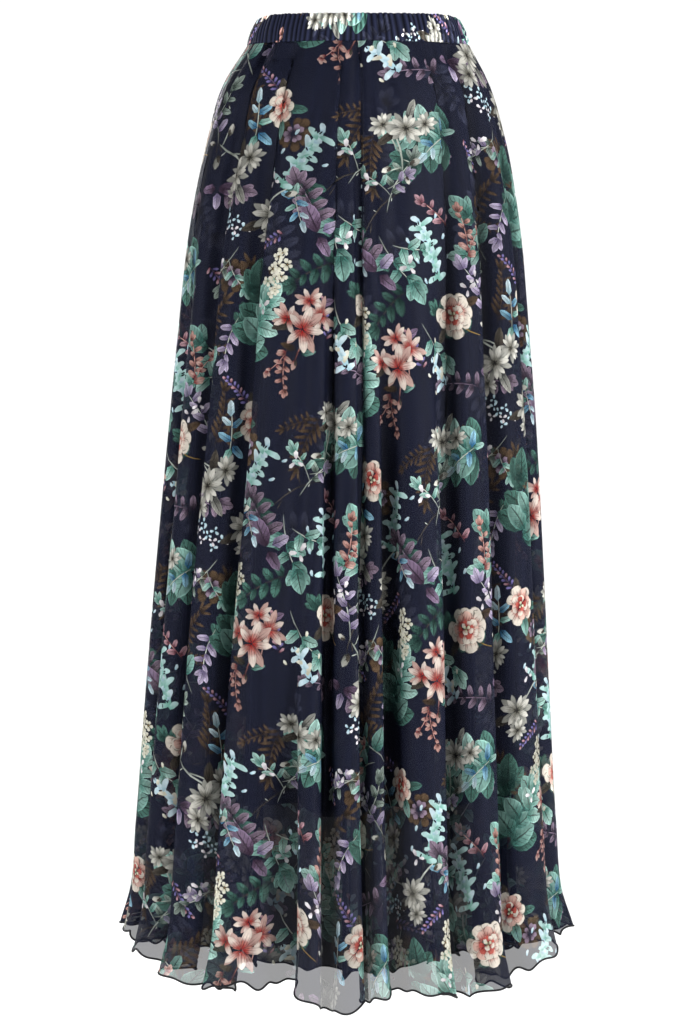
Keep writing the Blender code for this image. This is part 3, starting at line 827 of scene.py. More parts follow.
def half_width_at(petals, share):
    """A petal's half width at a share of its length: a lens, (4s(1-s))^pointed with s = share^widest,
    whose widest place and whose ends follow the petal's own numbers."""
    s = np.clip(share, 0.0, 1.0) ** petals[:, WIDEST, None]
    return petals[:, HALF, None] * np.maximum(4.0 * s * (1.0 - s), 1e-9) ** petals[:, POINTED, None]


def petal_outlines(petals):
    """The outline of each petal: up one side and down the other, bent sideways by share squared."""
    share = OUTLINE_SHARES[None, :] + np.zeros((len(petals), 1))
    side = np.concatenate((np.ones(len(OUTLINE_STEPS)), -np.ones(len(OUTLINE_STEPS) - 2)))
    half = half_width_at(petals, share)
    half[share <= 0.0] = 0.0
    half[share >= 1.0] = 0.0
    ahead = share * petals[:, LENGTH, None]
    aside = side * half + petals[:, BEND, None] * petals[:, LENGTH, None] * share ** 2
    a = np.radians(petals[:, TURN, None])
    x = petals[:, X, None] + ahead * np.cos(a) - aside * np.sin(a)
    y = petals[:, Y, None] + ahead * np.sin(a) + aside * np.cos(a)
    return x, y


def outline_places(petals):
    """Which of its outline's points each petal uses: small petals leave some out."""
    length = petals[:, LENGTH, None]
    small = (length < SMALL_PETAL) & np.isin(OUTLINE_SHARES, LEFT_OUT)
    smallest = (length < SMALLEST_PETAL) & np.isin(OUTLINE_SHARES, LEFT_OUT_TOO)
    return ~(small | smallest)


def petal_places(petals, x, y):
    """Where points lie on their petals: the share of the length, and the share of the half width."""
    a = np.radians(petals[:, TURN, None])
    dx = x - petals[:, X, None]
    dy = y - petals[:, Y, None]
    share = (dx * np.cos(a) + dy * np.sin(a)) / petals[:, LENGTH, None]
    aside = dy * np.cos(a) - dx * np.sin(a) - petals[:, BEND, None] * petals[:, LENGTH, None] * share ** 2
    edge = aside / np.maximum(half_width_at(petals, share), 1e-5)
    return np.clip(share, 0.0, 1.0), np.clip(edge, -1.0, 1.0)


def grid_points(columns_at, rows):
    """Points over the cloth (share across, distance down), every other row set half a step along,
    and the numbers of those on its border, in order round it."""
    found, first, last = [], [], []
    total = 0
    for k, row in enumerate(rows):
        count = columns_at(row)
        across = (np.arange(1, count) + (0.25 if k % 2 else -0.25)) / count
        across = np.concatenate(([0.0], across, [1.0]))
        found.append(np.stack((across, np.full(len(across), row)), -1))
        first.append(total)
        total += len(across)
        last.append(total - 1)
    top_row = list(range(first[0], last[0]))
    bottom_row = list(range(last[-1], first[-1], -1))
    return np.concatenate(found), top_row + last[:-1] + bottom_row + first[:0:-1]


def printed(columns_at, rows, to_cut, from_cut, origin, wide, tall):
    """The cloth's triangles, with every petal's outline among their edges: a constrained Delaunay
    triangulation of grid points and outlines.  The grid is drawn wide by tall, so that its cells
    are about square there.  Gives points (share across, distance down), triangles, and the number
    of the petal that lies on top in each triangle, or -1."""
    grid, border = grid_points(columns_at, rows)
    edge_x, edge_y = to_cut(grid[:, 0], grid[:, 1])
    low, high = np.array([edge_x.min(), edge_y.min()]), np.array([edge_x.max(), edge_y.max()])
    petals, shades = scattered(low, high, np.array(origin))
    x, y = petal_outlines(petals)
    across, down = from_cut(x, y)
    kept = ((across > 0.0) & (across < 1.0) & (down > rows[0]) & (down < rows[-1])).any(1)
    petals, shades = petals[kept], shades[kept]
    outlines = np.stack((across[kept], down[kept]), -1)
    drawn = outline_places(petals)
    numbers = (len(grid) - 1 + np.cumsum(drawn)).reshape(drawn.shape)
    faces = [border] + [row[used].tolist() for row, used in zip(numbers, drawn)]
    points = np.concatenate((grid, outlines[drawn])) * (wide, tall)
    found = delaunay_2d_cdt([Vector(p) for p in points.tolist()], [], faces,
                            ALL_TRIANGLES, SAME_POINT)
    on_cloth = np.array([0 in owners for owners in found[5]])
    top = np.array([max(owners, default=0) for owners in found[5]])[on_cloth] - 1
    used, triangles = np.unique(np.array(found[2])[on_cloth], return_inverse=True)
    points = np.array([tuple(p) for p in found[0]])[used] / (wide, tall)
    return points, triangles.reshape(-1, 3)[:, ::-1], top, petals, shades


def new_mesh(name, points, faces, normals=None):
    """A smooth mesh of the points and faces, with its points' normals where they are given."""
    mesh = bpy.data.meshes.new(name)
    mesh.from_pydata(points.tolist(), [], faces.tolist())
    mesh.shade_smooth()
    if normals is not None:
        mesh.normals_split_custom_set_from_vertices(normals.tolist())
    return mesh


def add_piece(name, mesh, finish, replaces=()):
    """The mesh as a piece at the origin that rides on the skirt's one body."""
    piece = bpy.data.objects.new(name, mesh)
    piece.data.materials.append(finish)
    bpy.context.scene.collection.objects.link(piece)
    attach(piece, "root")
    if replaces:
        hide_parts(*replaces)
    return piece


FIELDS = {"FLOAT": "value", "FLOAT_VECTOR": "vector", "FLOAT_COLOR": "color"}


def write_values(mesh, name, kind, domain, values):
    """A number, vector or colour for each point or corner of the mesh."""
    layer = mesh.attributes.new(name, kind, domain)
    layer.data.foreach_set(FIELDS[kind], values.astype(np.float32).ravel())


def write_cut(mesh, cut_points):
    """Each point's place on the flat cut in metres, which the cloth's patterns follow."""
    flat = np.concatenate((cut_points, np.zeros((len(cut_points), 1))), 1)
    write_values(mesh, "cut", "FLOAT_VECTOR", "POINT", flat)


def write_layout(mesh, cut_points, triangles):
    """The flat cut as a UV map laid out in the unit square, with a narrow margin."""
    low = cut_points.min(0)
    unit = 0.005 + 0.99 * (cut_points - low) / (cut_points.max(0) - low)
    layer = mesh.uv_layers.new(name="OFBake")
    layer.uv.foreach_set("vector", unit[triangles.ravel()].astype(np.float32).ravel())


def write_print(mesh, triangles, top, petals, shades, cut_points, light):
    """The print as the corners' own values: the ink at the petal's root and tip, the corner's
    place on its petal, and how strongly its veins, streaks and outline are drawn.  The light, a
    number for each point, is painted light and shade that makes its inks lighter or darker."""
    ground = top < 0
    owner = petals[np.maximum(top, 0)]
    share, edge = petal_places(owner, cut_points[triangles, 0], cut_points[triangles, 1])
    place = np.stack((share, edge, np.zeros_like(share)), -1)
    lines = owner[:, [VEINS, STREAKS, OUTLINE]] * ~ground[:, None]
    ink = np.where(ground, 0, owner[:, INK].astype(int))
    tone = np.where(ground, 1.0, shades[np.maximum(top, 0)])[:, None]
    for name, colours in (("root_ink_and_shade", INK_ROOTS), ("tip_ink_and_shade", INK_TIPS)):
        values = np.repeat(colours[ink] * tone, 3, axis=0) * light[triangles.ravel(), None]
        filled = np.concatenate((values, np.ones((len(values), 1))), 1)
        write_values(mesh, name, "FLOAT_COLOR", "CORNER", filled)
    write_values(mesh, "petal_place", "FLOAT_VECTOR", "CORNER", place)
    write_values(mesh, "drawn_lines", "FLOAT_VECTOR", "CORNER", np.repeat(lines, 3, axis=0))


def write_plain(mesh):
    """The same values on a small piece that shows the print's ground alone."""
    ground = np.tile((*INK_ROOTS[0], 1.0), len(mesh.vertices))
    for name in ("root_ink_and_shade", "tip_ink_and_shade"):
        write_values(mesh, name, "FLOAT_COLOR", "POINT", ground)
    for name in ("petal_place", "drawn_lines"):
        mesh.attributes.new(name, "FLOAT_VECTOR", "POINT")


# ---- finishes ------------------------------------------------------------------------------
ATTRIBUTE, SEPARATE, NOISE = "ShaderNodeAttribute", "ShaderNodeSeparateXYZ", "ShaderNodeTexNoise"
MATH, VECTOR_MATH, RANGE = "ShaderNodeMath", "ShaderNodeVectorMath", "ShaderNodeMapRange"
MIX, BUMP, PLACE = "ShaderNodeMix", "ShaderNodeBump", "ShaderNodeTexCoord"
SOFT = {"interpolation_type": "SMOOTHSTEP"}

WASH_PER_METRE = 150.0      # the inks' blotches are about 7 mm across
STREAKS_PER_METRE = (110.0, 3.0, 0.0)    # faint streaks down the cloth, 9 mm apart
GRAIN_PER_METRE = 2600.0    # the crepe yarns' grain, 0.4 mm across, coarser than real so that it shows
CLOUDS_PER_METRE = 14.0     # uneven dye on the lining, 70 mm across
THREAD_PITCH = 0.0012       # the windings, drawn twice as coarse as real ones so that they show

FRONT_ALPHA = 0.77          # the share of what lies behind that one layer of chiffon hides
BACK_ALPHA = 0.975          # stands for a back in closer folds, with several layers over each other
CASING_ALPHA = 1.0          # doubled and gathered over the elastic


def join(tree, made, inputs):
    """Sets a node's inputs to values, or links them to an output or to a node's first output."""
    for key, value in inputs.items():
        if isinstance(value, bpy.types.Node):
            value = value.outputs[0]
        if isinstance(value, bpy.types.NodeSocket):
            tree.links.new(value, made.inputs[key])
        else:
            made.inputs[key].default_value = value


def node(tree, kind, inputs, **settings):
    """Adds a node with its settings, its inputs' values and its links."""
    made = tree.nodes.new(kind)
    for key, value in settings.items():
        setattr(made, key, value)
    join(tree, made, inputs)
    return made


def new_finish(name):
    """A material, its tree and its one shader."""
    made = bpy.data.materials.new(name)
    made.use_nodes = True
    return made, made.node_tree, made.node_tree.nodes["Principled BSDF"]


def petal_inks(tree, along, wash):
    """The inks of a petal, with painted light and shade in them: the root's runs unevenly into the tip's.
    """
    roots = node(tree, ATTRIBUTE, {}, attribute_name="root_ink_and_shade")
    tips = node(tree, ATTRIBUTE, {}, attribute_name="tip_ink_and_shade")
    run = node(tree, MATH, {0: wash, 1: 0.5, 2: along}, operation="MULTIPLY_ADD")
    share = node(tree, RANGE, {0: run, 1: 0.33, 2: 0.97}, **SOFT)
    return node(tree, MIX, {0: share, 6: roots, 7: tips}, data_type="RGBA").outputs[2]


def petal_lines(tree, along, edge):
    """How dark the lines drawn on a petal are: a rib, six side veins that slant out from it and one
    darker half; streaks that fade from the root; and a rim, pale where its strength is below 0.
    The numbers are shares of the petal's length and half width."""
    drawn = node(tree, ATTRIBUTE, {}, attribute_name="drawn_lines").outputs["Vector"]
    strengths = node(tree, SEPARATE, {0: drawn}).outputs
    off = node(tree, MATH, {0: edge}, operation="ABSOLUTE")
    rib = node(tree, RANGE, {0: off, 1: 0.05, 2: 0.16, 3: 1.0, 4: 0.0}, **SOFT)
    slant = node(tree, MATH, {0: off, 1: -1.4}, operation="MULTIPLY")
    slant = node(tree, MATH, {0: along, 1: 6.0, 2: slant}, operation="MULTIPLY_ADD")
    slant = node(tree, MATH, {0: slant, 1: 0.5}, operation="PINGPONG")
    side = node(tree, RANGE, {0: slant, 1: 0.02, 2: 0.16, 3: 0.7, 4: 0.0}, **SOFT)
    half = node(tree, RANGE, {0: edge, 1: 0.05, 2: 0.25, 3: 0.0, 4: 0.42}, **SOFT)
    veins = node(tree, MATH, {0: rib, 1: side}, operation="MAXIMUM")
    veins = node(tree, MATH, {0: veins, 1: half}, operation="MAXIMUM")
    veins = node(tree, MATH, {0: veins, 1: strengths[0]}, operation="MULTIPLY")
    ray = node(tree, MATH, {0: edge, 1: 1.7}, operation="MULTIPLY")
    ray = node(tree, MATH, {0: ray, 1: 0.5}, operation="PINGPONG")
    ray = node(tree, RANGE, {0: ray, 1: 0.03, 2: 0.17, 3: 1.0, 4: 0.0}, **SOFT)
    fading = node(tree, RANGE, {0: along, 1: 0.25, 2: 0.95, 3: 1.0, 4: 0.0}, **SOFT)
    streaks = node(tree, MATH, {0: ray, 1: fading}, operation="MULTIPLY")
    streaks = node(tree, MATH, {0: streaks, 1: strengths[1]}, operation="MULTIPLY")
    lines = node(tree, MATH, {0: veins, 1: streaks}, operation="MAXIMUM")
    rim = node(tree, RANGE, {0: off, 1: 0.72, 2: 0.97}, **SOFT)
    return node(tree, MATH, {0: rim, 1: strengths[2], 2: lines}, operation="MULTIPLY_ADD")


def printed_chiffon(name, alpha):
    """Polyester chiffon, plain woven from fine crepe yarns and printed on its face: a matt, slightly
    sheer cloth with watercolour inks, darker lines along the motifs, and a faint grain."""
    made, tree, shader = new_finish(name)
    cut = node(tree, ATTRIBUTE, {}, attribute_name="cut").outputs["Vector"]
    place = node(tree, ATTRIBUTE, {}, attribute_name="petal_place").outputs["Vector"]
    along, edge, _ = node(tree, SEPARATE, {0: place}).outputs
    wash = node(tree, NOISE, {"Vector": cut, "Scale": WASH_PER_METRE, "Detail": 3.0, "Roughness": 0.6})
    down = node(tree, VECTOR_MATH, {0: cut, 1: STREAKS_PER_METRE}, operation="MULTIPLY")
    down = node(tree, NOISE, {"Vector": down, "Scale": 1.0, "Detail": 2.0})
    grain = node(tree, NOISE, {"Vector": cut, "Scale": GRAIN_PER_METRE, "Detail": 2.0})
    # the drawn lines take at most 0.78 of the ink away, and the wash and the streaks vary it
    lines = petal_lines(tree, along, edge)
    keep = node(tree, MATH, {0: lines, 1: -0.72, 2: 1.0}, operation="MULTIPLY_ADD")
    keep = node(tree, MATH, {0: keep, 1: 0.22}, operation="MAXIMUM")
    uneven = node(tree, MATH, {0: wash, 1: 0.62, 2: 0.80}, operation="MULTIPLY_ADD")
    streaky = node(tree, MATH, {0: down, 1: 0.76, 2: 0.62}, operation="MULTIPLY_ADD")
    tone = node(tree, MATH, {0: keep, 1: uneven}, operation="MULTIPLY")
    tone = node(tree, MATH, {0: tone, 1: streaky}, operation="MULTIPLY")
    # the inks carry the painted shade of the folds and pleats, and the painted light and shade of the
    # band's gathers
    inks = petal_inks(tree, along, wash)
    colour = node(tree, VECTOR_MATH, {0: inks, "Scale": tone}, operation="SCALE")
    bump = node(tree, BUMP, {"Strength": 0.2, "Distance": 0.0001, "Height": grain})
    join(tree, shader, {"Base Color": colour, "Normal": bump, "Roughness": 0.62,
                        "Specular IOR Level": 0.08, "Alpha": alpha})
    return made


def satin_lining(name):
    """Polyester lining, a smooth close weave dyed navy: dark and plain, with a soft satin gleam."""
    made, tree, shader = new_finish(name)
    place = node(tree, PLACE, {}).outputs["Object"]
    cloudy = node(tree, NOISE, {"Vector": place, "Scale": CLOUDS_PER_METRE, "Detail": 3.0})
    dark, light = (*linear("15161f"), 1.0), (*linear("1c1e2b"), 1.0)
    colour = node(tree, MIX, {0: cloudy, 6: dark, 7: light}, data_type="RGBA").outputs[2]
    threads = node(tree, NOISE, {"Vector": place, "Scale": GRAIN_PER_METRE, "Detail": 1.0})
    bump = node(tree, BUMP, {"Strength": 0.1, "Distance": 0.0001, "Height": threads})
    join(tree, shader, {"Base Color": colour, "Normal": bump, "Roughness": 0.5,
                        "Specular IOR Level": 0.15})
    return made


def overlock_thread(name):
    """Polyester thread wound close over a rolled edge: near black, with a fine ribbing across it."""
    made, tree, shader = new_finish(name)
    wound = node(tree, ATTRIBUTE, {}, attribute_name="wound").outputs["Fac"]
    ribs = node(tree, MATH, {0: wound, 1: 2.0 * math.pi / THREAD_PITCH}, operation="MULTIPLY")
    ribs = node(tree, MATH, {0: ribs}, operation="SINE")
    # painted shade: the colour runs from a darker one in the ribs' grooves to a lighter one on their
    # crests
    light = node(tree, RANGE, {0: ribs, 1: -1.0, 2: 1.0, 3: 0.0, 4: 1.0})
    groove, crest = (*linear("08090d"), 1.0), (*linear("12131b"), 1.0)
    colour = node(tree, MIX, {0: light, 6: groove, 7: crest}, data_type="RGBA").outputs[2]
    bump = node(tree, BUMP, {"Strength": 0.6, "Distance": 0.0003, "Height": ribs})
    join(tree, shader, {"Base Color": colour, "Normal": bump, "Roughness": 0.6,
                        "Specular IOR Level": 0.3})
    return made


# ---- pieces --------------------------------------------------------------------------------
WIDTH_PLACES = 60           # points in each fold where a panel's width is measured
WIDTH_SHARES = 1201         # and the even shares of the width that are looked up from it

COLUMN_STEP = 0.0044        # the chiffon's grid across
ROW_STEP = 0.0125           # and down
LEAST_COLUMNS = 100         # where the cut is narrow
TOP_ROWS = 9                # closer rows under the band, down to this drop
TOP_ROWS_TO = 0.03
HEM_ROWS = 14               # and where the hem ripples
PRINT_STEP = (0.083, 0.127)     # each panel is cut this much further along and up the print

HEM_POINTS = 420            # along each panel's rolled hem
HEM_SIDES = 8               # and round its edge

SEAM_WIDTH = 0.0055         # the French seams
SEAM_INSIDE = 0.0007        # they lie this far inside the panel
SEAM_ROUNDING = 0.0004      # and this much further in the middle
SEAM_END = 0.0015           # and end this far above the hem
SEAM_GRID = (7, 140)        # points across and down

LINING_ROWS = 66            # down to its hem
LINING_PLACES = 20          # columns in each fold
LINING_HEM = 0.012          # what is turned up
LINING_HEM_ROWS = 5
LINING_HEM_INSIDE = 0.0006  # and how far inside it lies


def place_table(first, last):
    """For rows of drops, the fold places at even shares of the cloth's width from seam to seam."""
    drops = TABLE_DROPS[:, None]
    places = np.linspace(first, last, WIDTH_PLACES * (last - first) + 1)[None, :]
    points = folded(places + 0.0 * drops, drops + 0.0 * places, fullness_at(drops), pleated=True)
    steps = np.linalg.norm(np.diff(points, axis=1), axis=2)
    along = np.concatenate((np.zeros((len(drops), 1)), np.cumsum(steps, axis=1)), axis=1)
    shares = np.linspace(0.0, 1.0, WIDTH_SHARES)
    return np.array([np.interp(shares, row / row[-1], places[0]) for row in along])


def places_on(table, across, drop):
    """The fold places of points given by their share of the width and their drop, read between
    the table's rows and columns."""
    rows, columns = table.shape
    r = np.clip((drop - TABLE_DROPS[0]) / (TABLE_DROPS[1] - TABLE_DROPS[0]), 0.0, rows - 1.001)
    c = np.clip(across * (columns - 1), 0.0, columns - 1.001)
    i, j = r.astype(int), c.astype(int)
    r, c = r - i, c - j
    upper = table[i, j] * (1 - c) + table[i, j + 1] * c
    lower = table[i + 1, j] * (1 - c) + table[i + 1, j + 1] * c
    return upper * (1 - r) + lower * r


def panel_columns(drop):
    """How many grid points a row has: as many as the cut is wide there."""
    return max(LEAST_COLUMNS, int((GORE_WIDTH + GORE_TURN * drop) / COLUMN_STEP))


def panel_rows():
    """Drops of the rows: close under the band and at the hem, where small forms need them."""
    top = np.linspace(-TUCKED_IN, TOP_ROWS_TO, TOP_ROWS)
    hem = np.linspace(SKIRT_LENGTH - RIPPLE_FROM, SKIRT_LENGTH, HEM_ROWS)
    body = np.arange(top[-1] + ROW_STEP, hem[0] - ROW_STEP / 2, ROW_STEP)
    return np.concatenate((top, body, hem))


def add_panel(name, first, last, finish, origin):
    """A gore of printed chiffon: the print's triangles on the folded surface."""
    points, triangles, top, petals, shades = printed(
        panel_columns, panel_rows(), gore_to_cut, gore_from_cut, origin,
        GORE_TURN * SKIRT_LENGTH, COLUMN_STEP / ROW_STEP)
    table = place_table(first, last)
    across, drop = points[:, 0], points[:, 1]
    place = places_on(table, across, drop)
    normals = outward(chiffon, place, drop)
    mesh = new_mesh("chiffon_" + name, chiffon(place, drop), triangles, normals)
    cut = np.stack(gore_to_cut(across, drop), -1)
    # the inks take the painted shade of the folds and the painted light on the pleats' edges
    write_print(mesh, triangles, top, petals, shades, cut, fold_shade(place, drop))
    write_cut(mesh, cut)
    write_layout(mesh, cut, triangles)
    return add_piece("chiffon_" + name, mesh, finish, ["panel_" + name]), table


def grid_faces(rows, columns, closed=False):
    """Quads of a grid of points, and the last column joined to the first if it is closed."""
    r = np.arange(rows - 1)[:, None]
    c = np.arange(columns if closed else columns - 1)[None, :]
    n = (c + 1) % columns
    corners = (r * columns + c, (r + 1) * columns + c, (r + 1) * columns + n, r * columns + n)
    return np.stack(corners, -1).reshape(-1, 4)


def add_hem(name, table, finish):
    """The rolled edge: a circle carried along the panel's lower edge."""
    across = np.linspace(0.0, 1.0, HEM_POINTS)
    drop = np.full_like(across, SKIRT_LENGTH)
    path = chiffon(places_on(table, across, drop), drop)
    along = np.gradient(path, axis=0)
    along /= np.linalg.norm(along, axis=1, keepdims=True)
    side = np.cross(along, (0.0, 0.0, 1.0))
    side /= np.linalg.norm(side, axis=1, keepdims=True)
    over = np.cross(side, along)
    turn = (2.0 * math.pi * np.arange(HEM_SIDES) / HEM_SIDES)[None, :, None]
    circle = side[:, None, :] * np.cos(turn) + over[:, None, :] * np.sin(turn)
    points = path[:, None, :] + HEM_RADIUS * circle
    faces = grid_faces(HEM_POINTS, HEM_SIDES, closed=True)
    mesh = new_mesh("hem_" + name, points.reshape(-1, 3), faces)
    wound = np.concatenate(([0.0], np.cumsum(np.linalg.norm(np.diff(path, axis=0), axis=1))))
    write_values(mesh, "wound", "FLOAT", "POINT", np.repeat(wound, HEM_SIDES))
    return add_piece("hem_" + name, mesh, finish)


def add_seam(name, table, finish):
    """A narrow French seam lying inside the panel's first edge: the panel's own surface, moved
    inside along normals read just beside the edge, and rounded away from it in the middle."""
    share, drop = np.meshgrid(np.linspace(0.0, 1.0, SEAM_GRID[0]),
                              np.linspace(0.0, SKIRT_LENGTH - SEAM_END, SEAM_GRID[1]))
    faces = grid_faces(*share.shape)
    share, drop = share.ravel(), drop.ravel()
    across = share * (SEAM_WIDTH / (GORE_WIDTH + GORE_TURN * drop))
    place = places_on(table, across, drop)
    inside = SEAM_INSIDE + SEAM_ROUNDING * np.sin(math.pi * share)
    points = chiffon(place, drop) - inside[:, None] * outward(chiffon, place + 2e-3, drop)
    mesh = new_mesh("seam_" + name, points, faces)
    write_plain(mesh)
    write_cut(mesh, np.stack(gore_to_cut(across, drop), -1))
    return add_piece("seam_" + name, mesh, finish)


def add_lining(name, first, last, finish):
    """A lining panel: the shallower surface on an even grid, and its hem turned up inside."""
    turned_up = LINING_LENGTH - LINING_HEM
    drops = np.concatenate((np.linspace(-TUCKED_IN, LINING_LENGTH, LINING_ROWS),
                            np.linspace(LINING_LENGTH, turned_up, LINING_HEM_ROWS)))
    places = np.linspace(first, last, LINING_PLACES * (last - first) + 1)
    drop, place = np.meshgrid(drops, places, indexing="ij")
    points = lining(place, drop)
    inside = outward(lining, place[LINING_ROWS:], drop[LINING_ROWS:])
    points[LINING_ROWS:] -= LINING_HEM_INSIDE * inside
    mesh = new_mesh("lining_" + name + "_satin", points.reshape(-1, 3), grid_faces(*place.shape))
    return add_piece("lining_" + name + "_satin", mesh, finish, ["lining_" + name])


# ---- waistband -----------------------------------------------------------------------------
GATHER_RELIEF = 0.0019      # the cloth's ridges stand out further than the solid's
GATHER_INSIDE = 0.0004      # and this far on the inside
GATHER_EDGES = 0.55         # their share of that at the band's two edges
BAND_LIP = 0.0016           # cloth tucked under the lower edge
BAND_LIP_IN = 0.0018        # and how far in
BAND_LIP_ROUND = 0.0005     # the lower edge is rounded by this
BAND_OVER = 0.0036          # cloth over the top
BAND_OVER_ROUND = 0.0011    # and the top edge by this
BAND_DOWN = BAND_LIP + 2 * BAND_HEIGHT + BAND_OVER
BAND_DIPS = 0.0012          # the top edge dips at the front and the back
BAND_CORNER = 0.0045        # and is rounded off at the sides
BAND_CRIMP = 0.0010         # and follows the gathers up and down
BAND_COLUMNS = 1120         # ten for each gather
BAND_TALL = 0.35            # scale of the rows' distances that makes the grid's cells nearly square
BAND_CUT_FROM = (0.05, 0.012)   # where on the print it is cut
GROOVE_LIGHT = 0.30         # painted shade: how light the inks are in the gathers' grooves
RIDGE_LIGHT = 0.85          # what painted light their ridges add
CREST_LIGHT = 1.35          # and the painted highlight that the ridges' narrow tops add


def band_shares(down):
    """How far a point of the band's cloth is up the outside, over the top and down the inside, and
    how far it is tucked under the lower edge, each from 0 to 1."""
    up = np.clip((down - BAND_LIP) / BAND_HEIGHT, 0.0, 1.0)
    top = np.clip((down - BAND_LIP - BAND_HEIGHT) / BAND_OVER, 0.0, 1.0)
    fall = np.clip((down - BAND_LIP - BAND_HEIGHT - BAND_OVER) / BAND_HEIGHT, 0.0, 1.0)
    return up, top, fall, np.clip(1.0 - down / BAND_LIP, 0.0, 1.0)


def gather_angle(angle, up, fall):
    """Where the gathers' wave is read: the ridges lean up to a degree one way and the other."""
    turn = np.radians(angle)
    return angle + 1.1 * np.sin(5.0 * turn) * (up - 0.5) + 0.8 * np.sin(11.0 * turn) * fall


def band_surface(across, down):
    """The band's cloth: from under its lower edge, up the outside, over the top and down the
    inside.  Its gathers stand out from it on both sides, and fade over its two edges."""
    angle = 360.0 * across - 90.0
    up, top, fall, under = band_shares(down)
    share = up - fall
    bulge = BAND_ROUNDING * np.sin(math.pi * np.clip(share, 0.0, 1.0))
    ridge = gather_wave(gather_angle(angle, up, fall))
    swell = GATHER_EDGES + (1.0 - GATHER_EDGES) * np.sin(math.pi * up)
    outer = -BAND_OUTSIDE - bulge - GATHER_RELIEF * ridge * swell
    inner = BAND_INSIDE - GATHER_INSIDE * ridge
    turned = smooth(top)
    inset = outer * (1.0 - turned) + inner * turned + BAND_LIP_IN * under
    points = ring_point(angle, inset + BAND_TAPER * share, np.zeros_like(across))
    over, lip = BAND_OVER_ROUND * np.sin(math.pi * top), BAND_LIP_ROUND * np.sin(math.pi * under)
    points[..., 2] += BAND_HEIGHT * share + over + lip
    sideways = np.sin(np.radians(angle))
    points[..., 2] -= share * (BAND_DIPS * (1.0 - sideways ** 2) + BAND_CORNER * sideways ** 12)
    points[..., 2] += BAND_CRIMP * (ridge - 0.5) * share ** 2
    return points


def band_rows():
    """Distances up the band's cloth: the lip, the outside, closer ones over the top, the inside."""
    return np.concatenate((np.linspace(0.0, BAND_LIP, 3), np.linspace(0.0035, 0.0287, 8),
                           np.linspace(0.0306, 0.0342, 7), np.linspace(0.040, BAND_DOWN, 6)))


def add_waistband(finish):
    """The casing of printed chiffon, gathered on its elastic."""
    points, triangles, top, petals, shades = printed(
        lambda row: BAND_COLUMNS, band_rows(), band_to_cut, band_from_cut, BAND_CUT_FROM,
        BAND_CUT, BAND_TALL)
    triangles = triangles[:, ::-1]
    across, down = points[:, 0], points[:, 1]
    mesh = new_mesh("waistband_cloth", band_surface(across, down), triangles)
    cut = np.stack(band_to_cut(across, down), -1)
    up, _, fall, _ = band_shares(down)
    ridge = gather_ridge(gather_angle(360.0 * across - 90.0, up, fall))
    # painted shade in the gathers' grooves, painted light on their ridges and a painted highlight on their
    # tops
    light = GROOVE_LIGHT + RIDGE_LIGHT * ridge + CREST_LIGHT * ridge ** 6
    write_print(mesh, triangles, top, petals, shades, cut, light)
    write_cut(mesh, cut)
    write_layout(mesh, cut, triangles)
    return add_piece("waistband_cloth", mesh, finish, ["waistband"])


# ---- camera, floor and light ---------------------------------------------------------------
CAMERA_PLACE = (0.0, -5.2, -0.30)
CAMERA_LENS = 176.95        # millimetres, on a sensor 36 mm across
CAMERA_DOWN = 2.15          # degrees that it looks down
CAMERA_SHIFT = -5.5 / 1021  # moves the view a little to the left

FLOOR_DROP = 1.35           # the floor lies this far below the waist
FLOOR_REACH = 40.0          # how far it runs forward and to each side
SWEEP_RADIUS = 2.0
SWEEP_BEHIND = 9.0          # where it starts to curve up into the backdrop
BACKDROP_HEIGHT = 7.0

FACING = (0.0, 0.0, -0.5)   # the skirt's middle
# name, place, the point it faces, width in metres, power in watts
LAMPS = (
    ("key", (2.5, -2.8, 0.6), FACING, 1.2, 98.0),
    ("fill", (-3.0, -1.7, 0.3), FACING, 1.6, 76.0),
    ("side", (3.2, -0.9, 0.3), FACING, 1.6, 62.0),
    ("behind", (-1.6, 3.2, 0.8), FACING, 1.6, 50.0),
    ("backdrop", (0.0, 5.5, 6.0), (0.0, 9.0, -1.0), 8.0, 700.0),
)
SURROUNDINGS = 0.18         # strength of the white light from all round


def add_camera():
    """A long lens in front of the skirt, a little below its waist."""
    camera = bpy.data.objects.new("camera", bpy.data.cameras.new("camera"))
    camera.data.lens = CAMERA_LENS
    camera.data.sensor_width = 36.0
    camera.data.shift_x = CAMERA_SHIFT
    camera.location = CAMERA_PLACE
    camera.rotation_euler = (math.radians(90.0 - CAMERA_DOWN), 0.0, 0.0)
    bpy.context.scene.collection.objects.link(camera)
    bpy.context.scene.camera = camera


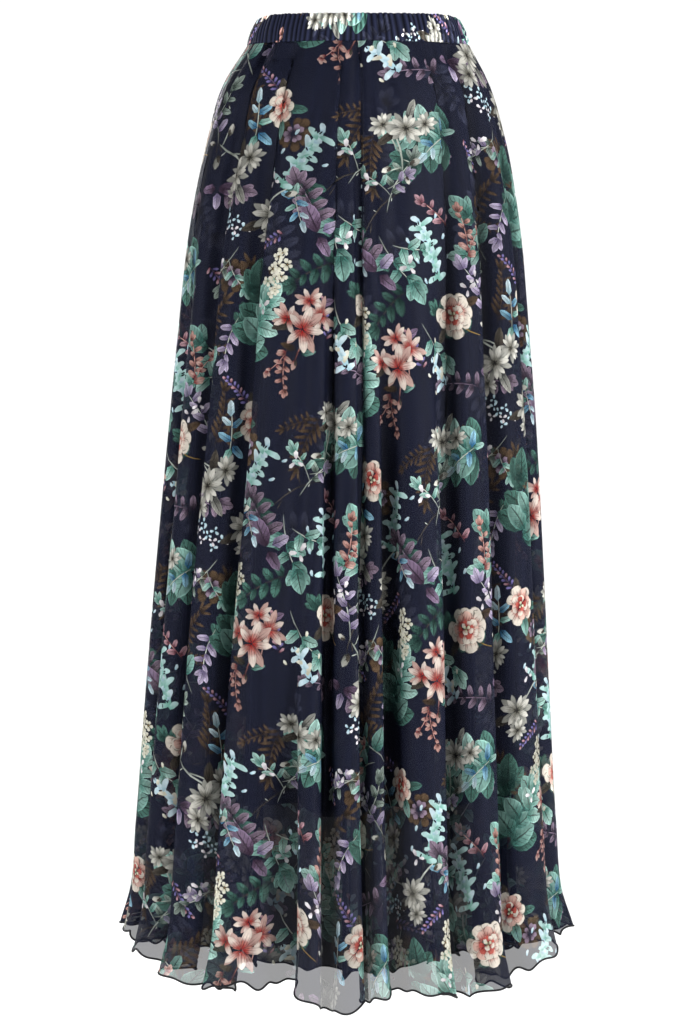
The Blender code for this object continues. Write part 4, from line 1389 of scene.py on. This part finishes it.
def add_floor():
    """A wide floor of matt white paper that sweeps up behind the skirt in a quarter circle and a
    wall."""
    turn = np.linspace(0.0, math.pi / 2.0, 25)
    y = SWEEP_BEHIND + SWEEP_RADIUS * np.sin(turn)
    y = np.concatenate(([-FLOOR_REACH], y, [SWEEP_BEHIND + SWEEP_RADIUS]))
    z = np.concatenate(([0.0], SWEEP_RADIUS * (1.0 - np.cos(turn)), [BACKDROP_HEIGHT])) - FLOOR_DROP
    x = np.linspace(-FLOOR_REACH, FLOOR_REACH, 5)
    points = np.stack(np.broadcast_arrays(x[None, :], y[:, None], z[:, None]), -1)
    mesh = new_mesh("floor", points.reshape(-1, 3), grid_faces(len(y), len(x))[:, ::-1])
    floor = bpy.data.objects.new("floor", mesh)
    made, tree, shader = new_finish("pale_floor")
    join(tree, shader, {"Base Color": (0.9, 0.9, 0.9, 1.0), "Roughness": 0.9,
                        "Specular IOR Level": 0.1})
    floor.data.materials.append(made)
    bpy.context.scene.collection.objects.link(floor)


def add_light():
    """White surroundings and five soft lamps: a strong one at the front right, weaker ones at the
    front left, at the right and behind, and a wide one over the floor that faces the backdrop."""
    world = bpy.data.worlds.new("studio")
    world.use_nodes = True
    join(world.node_tree, world.node_tree.nodes["Background"],
         {"Color": (1.0, 1.0, 1.0, 1.0), "Strength": SURROUNDINGS})
    bpy.context.scene.world = world
    for name, place, target, size, energy in LAMPS:
        lamp = bpy.data.objects.new(name, bpy.data.lights.new(name, "AREA"))
        lamp.data.shape = "SQUARE"
        lamp.data.size = size
        lamp.data.energy = energy
        lamp.location = place
        lamp.rotation_euler = (Vector(target) - Vector(place)).to_track_quat("-Z", "Y").to_euler()
        bpy.context.scene.collection.objects.link(lamp)
    bpy.context.scene.view_settings.view_transform = "Standard"


def main():
    """The view, the finishes, the four gores with their hems and seams, the lining and the band."""
    add_camera()
    add_floor()
    add_light()
    front = printed_chiffon("printed_polyester_chiffon", FRONT_ALPHA)
    back = printed_chiffon("printed_polyester_chiffon_back", BACK_ALPHA)
    casing = printed_chiffon("printed_chiffon_casing", CASING_ALPHA)
    thread = overlock_thread("polyester_overlock_thread")
    plain = satin_lining("polyester_satin_lining")
    for k, (name, (first, last)) in enumerate(PANELS.items()):
        cloth = front if name.startswith("front") else back
        origin = (PRINT_STEP[0] * k, PRINT_STEP[1] * k)
        panel, table = add_panel(name, first, last, cloth, origin)
        hem = add_hem(name, table, thread)
        seam = add_seam(name, table, cloth)
    for name, (first, last) in LININGS.items():
        piece = add_lining(name, first, last, plain)
    band = add_waistband(casing)


main()
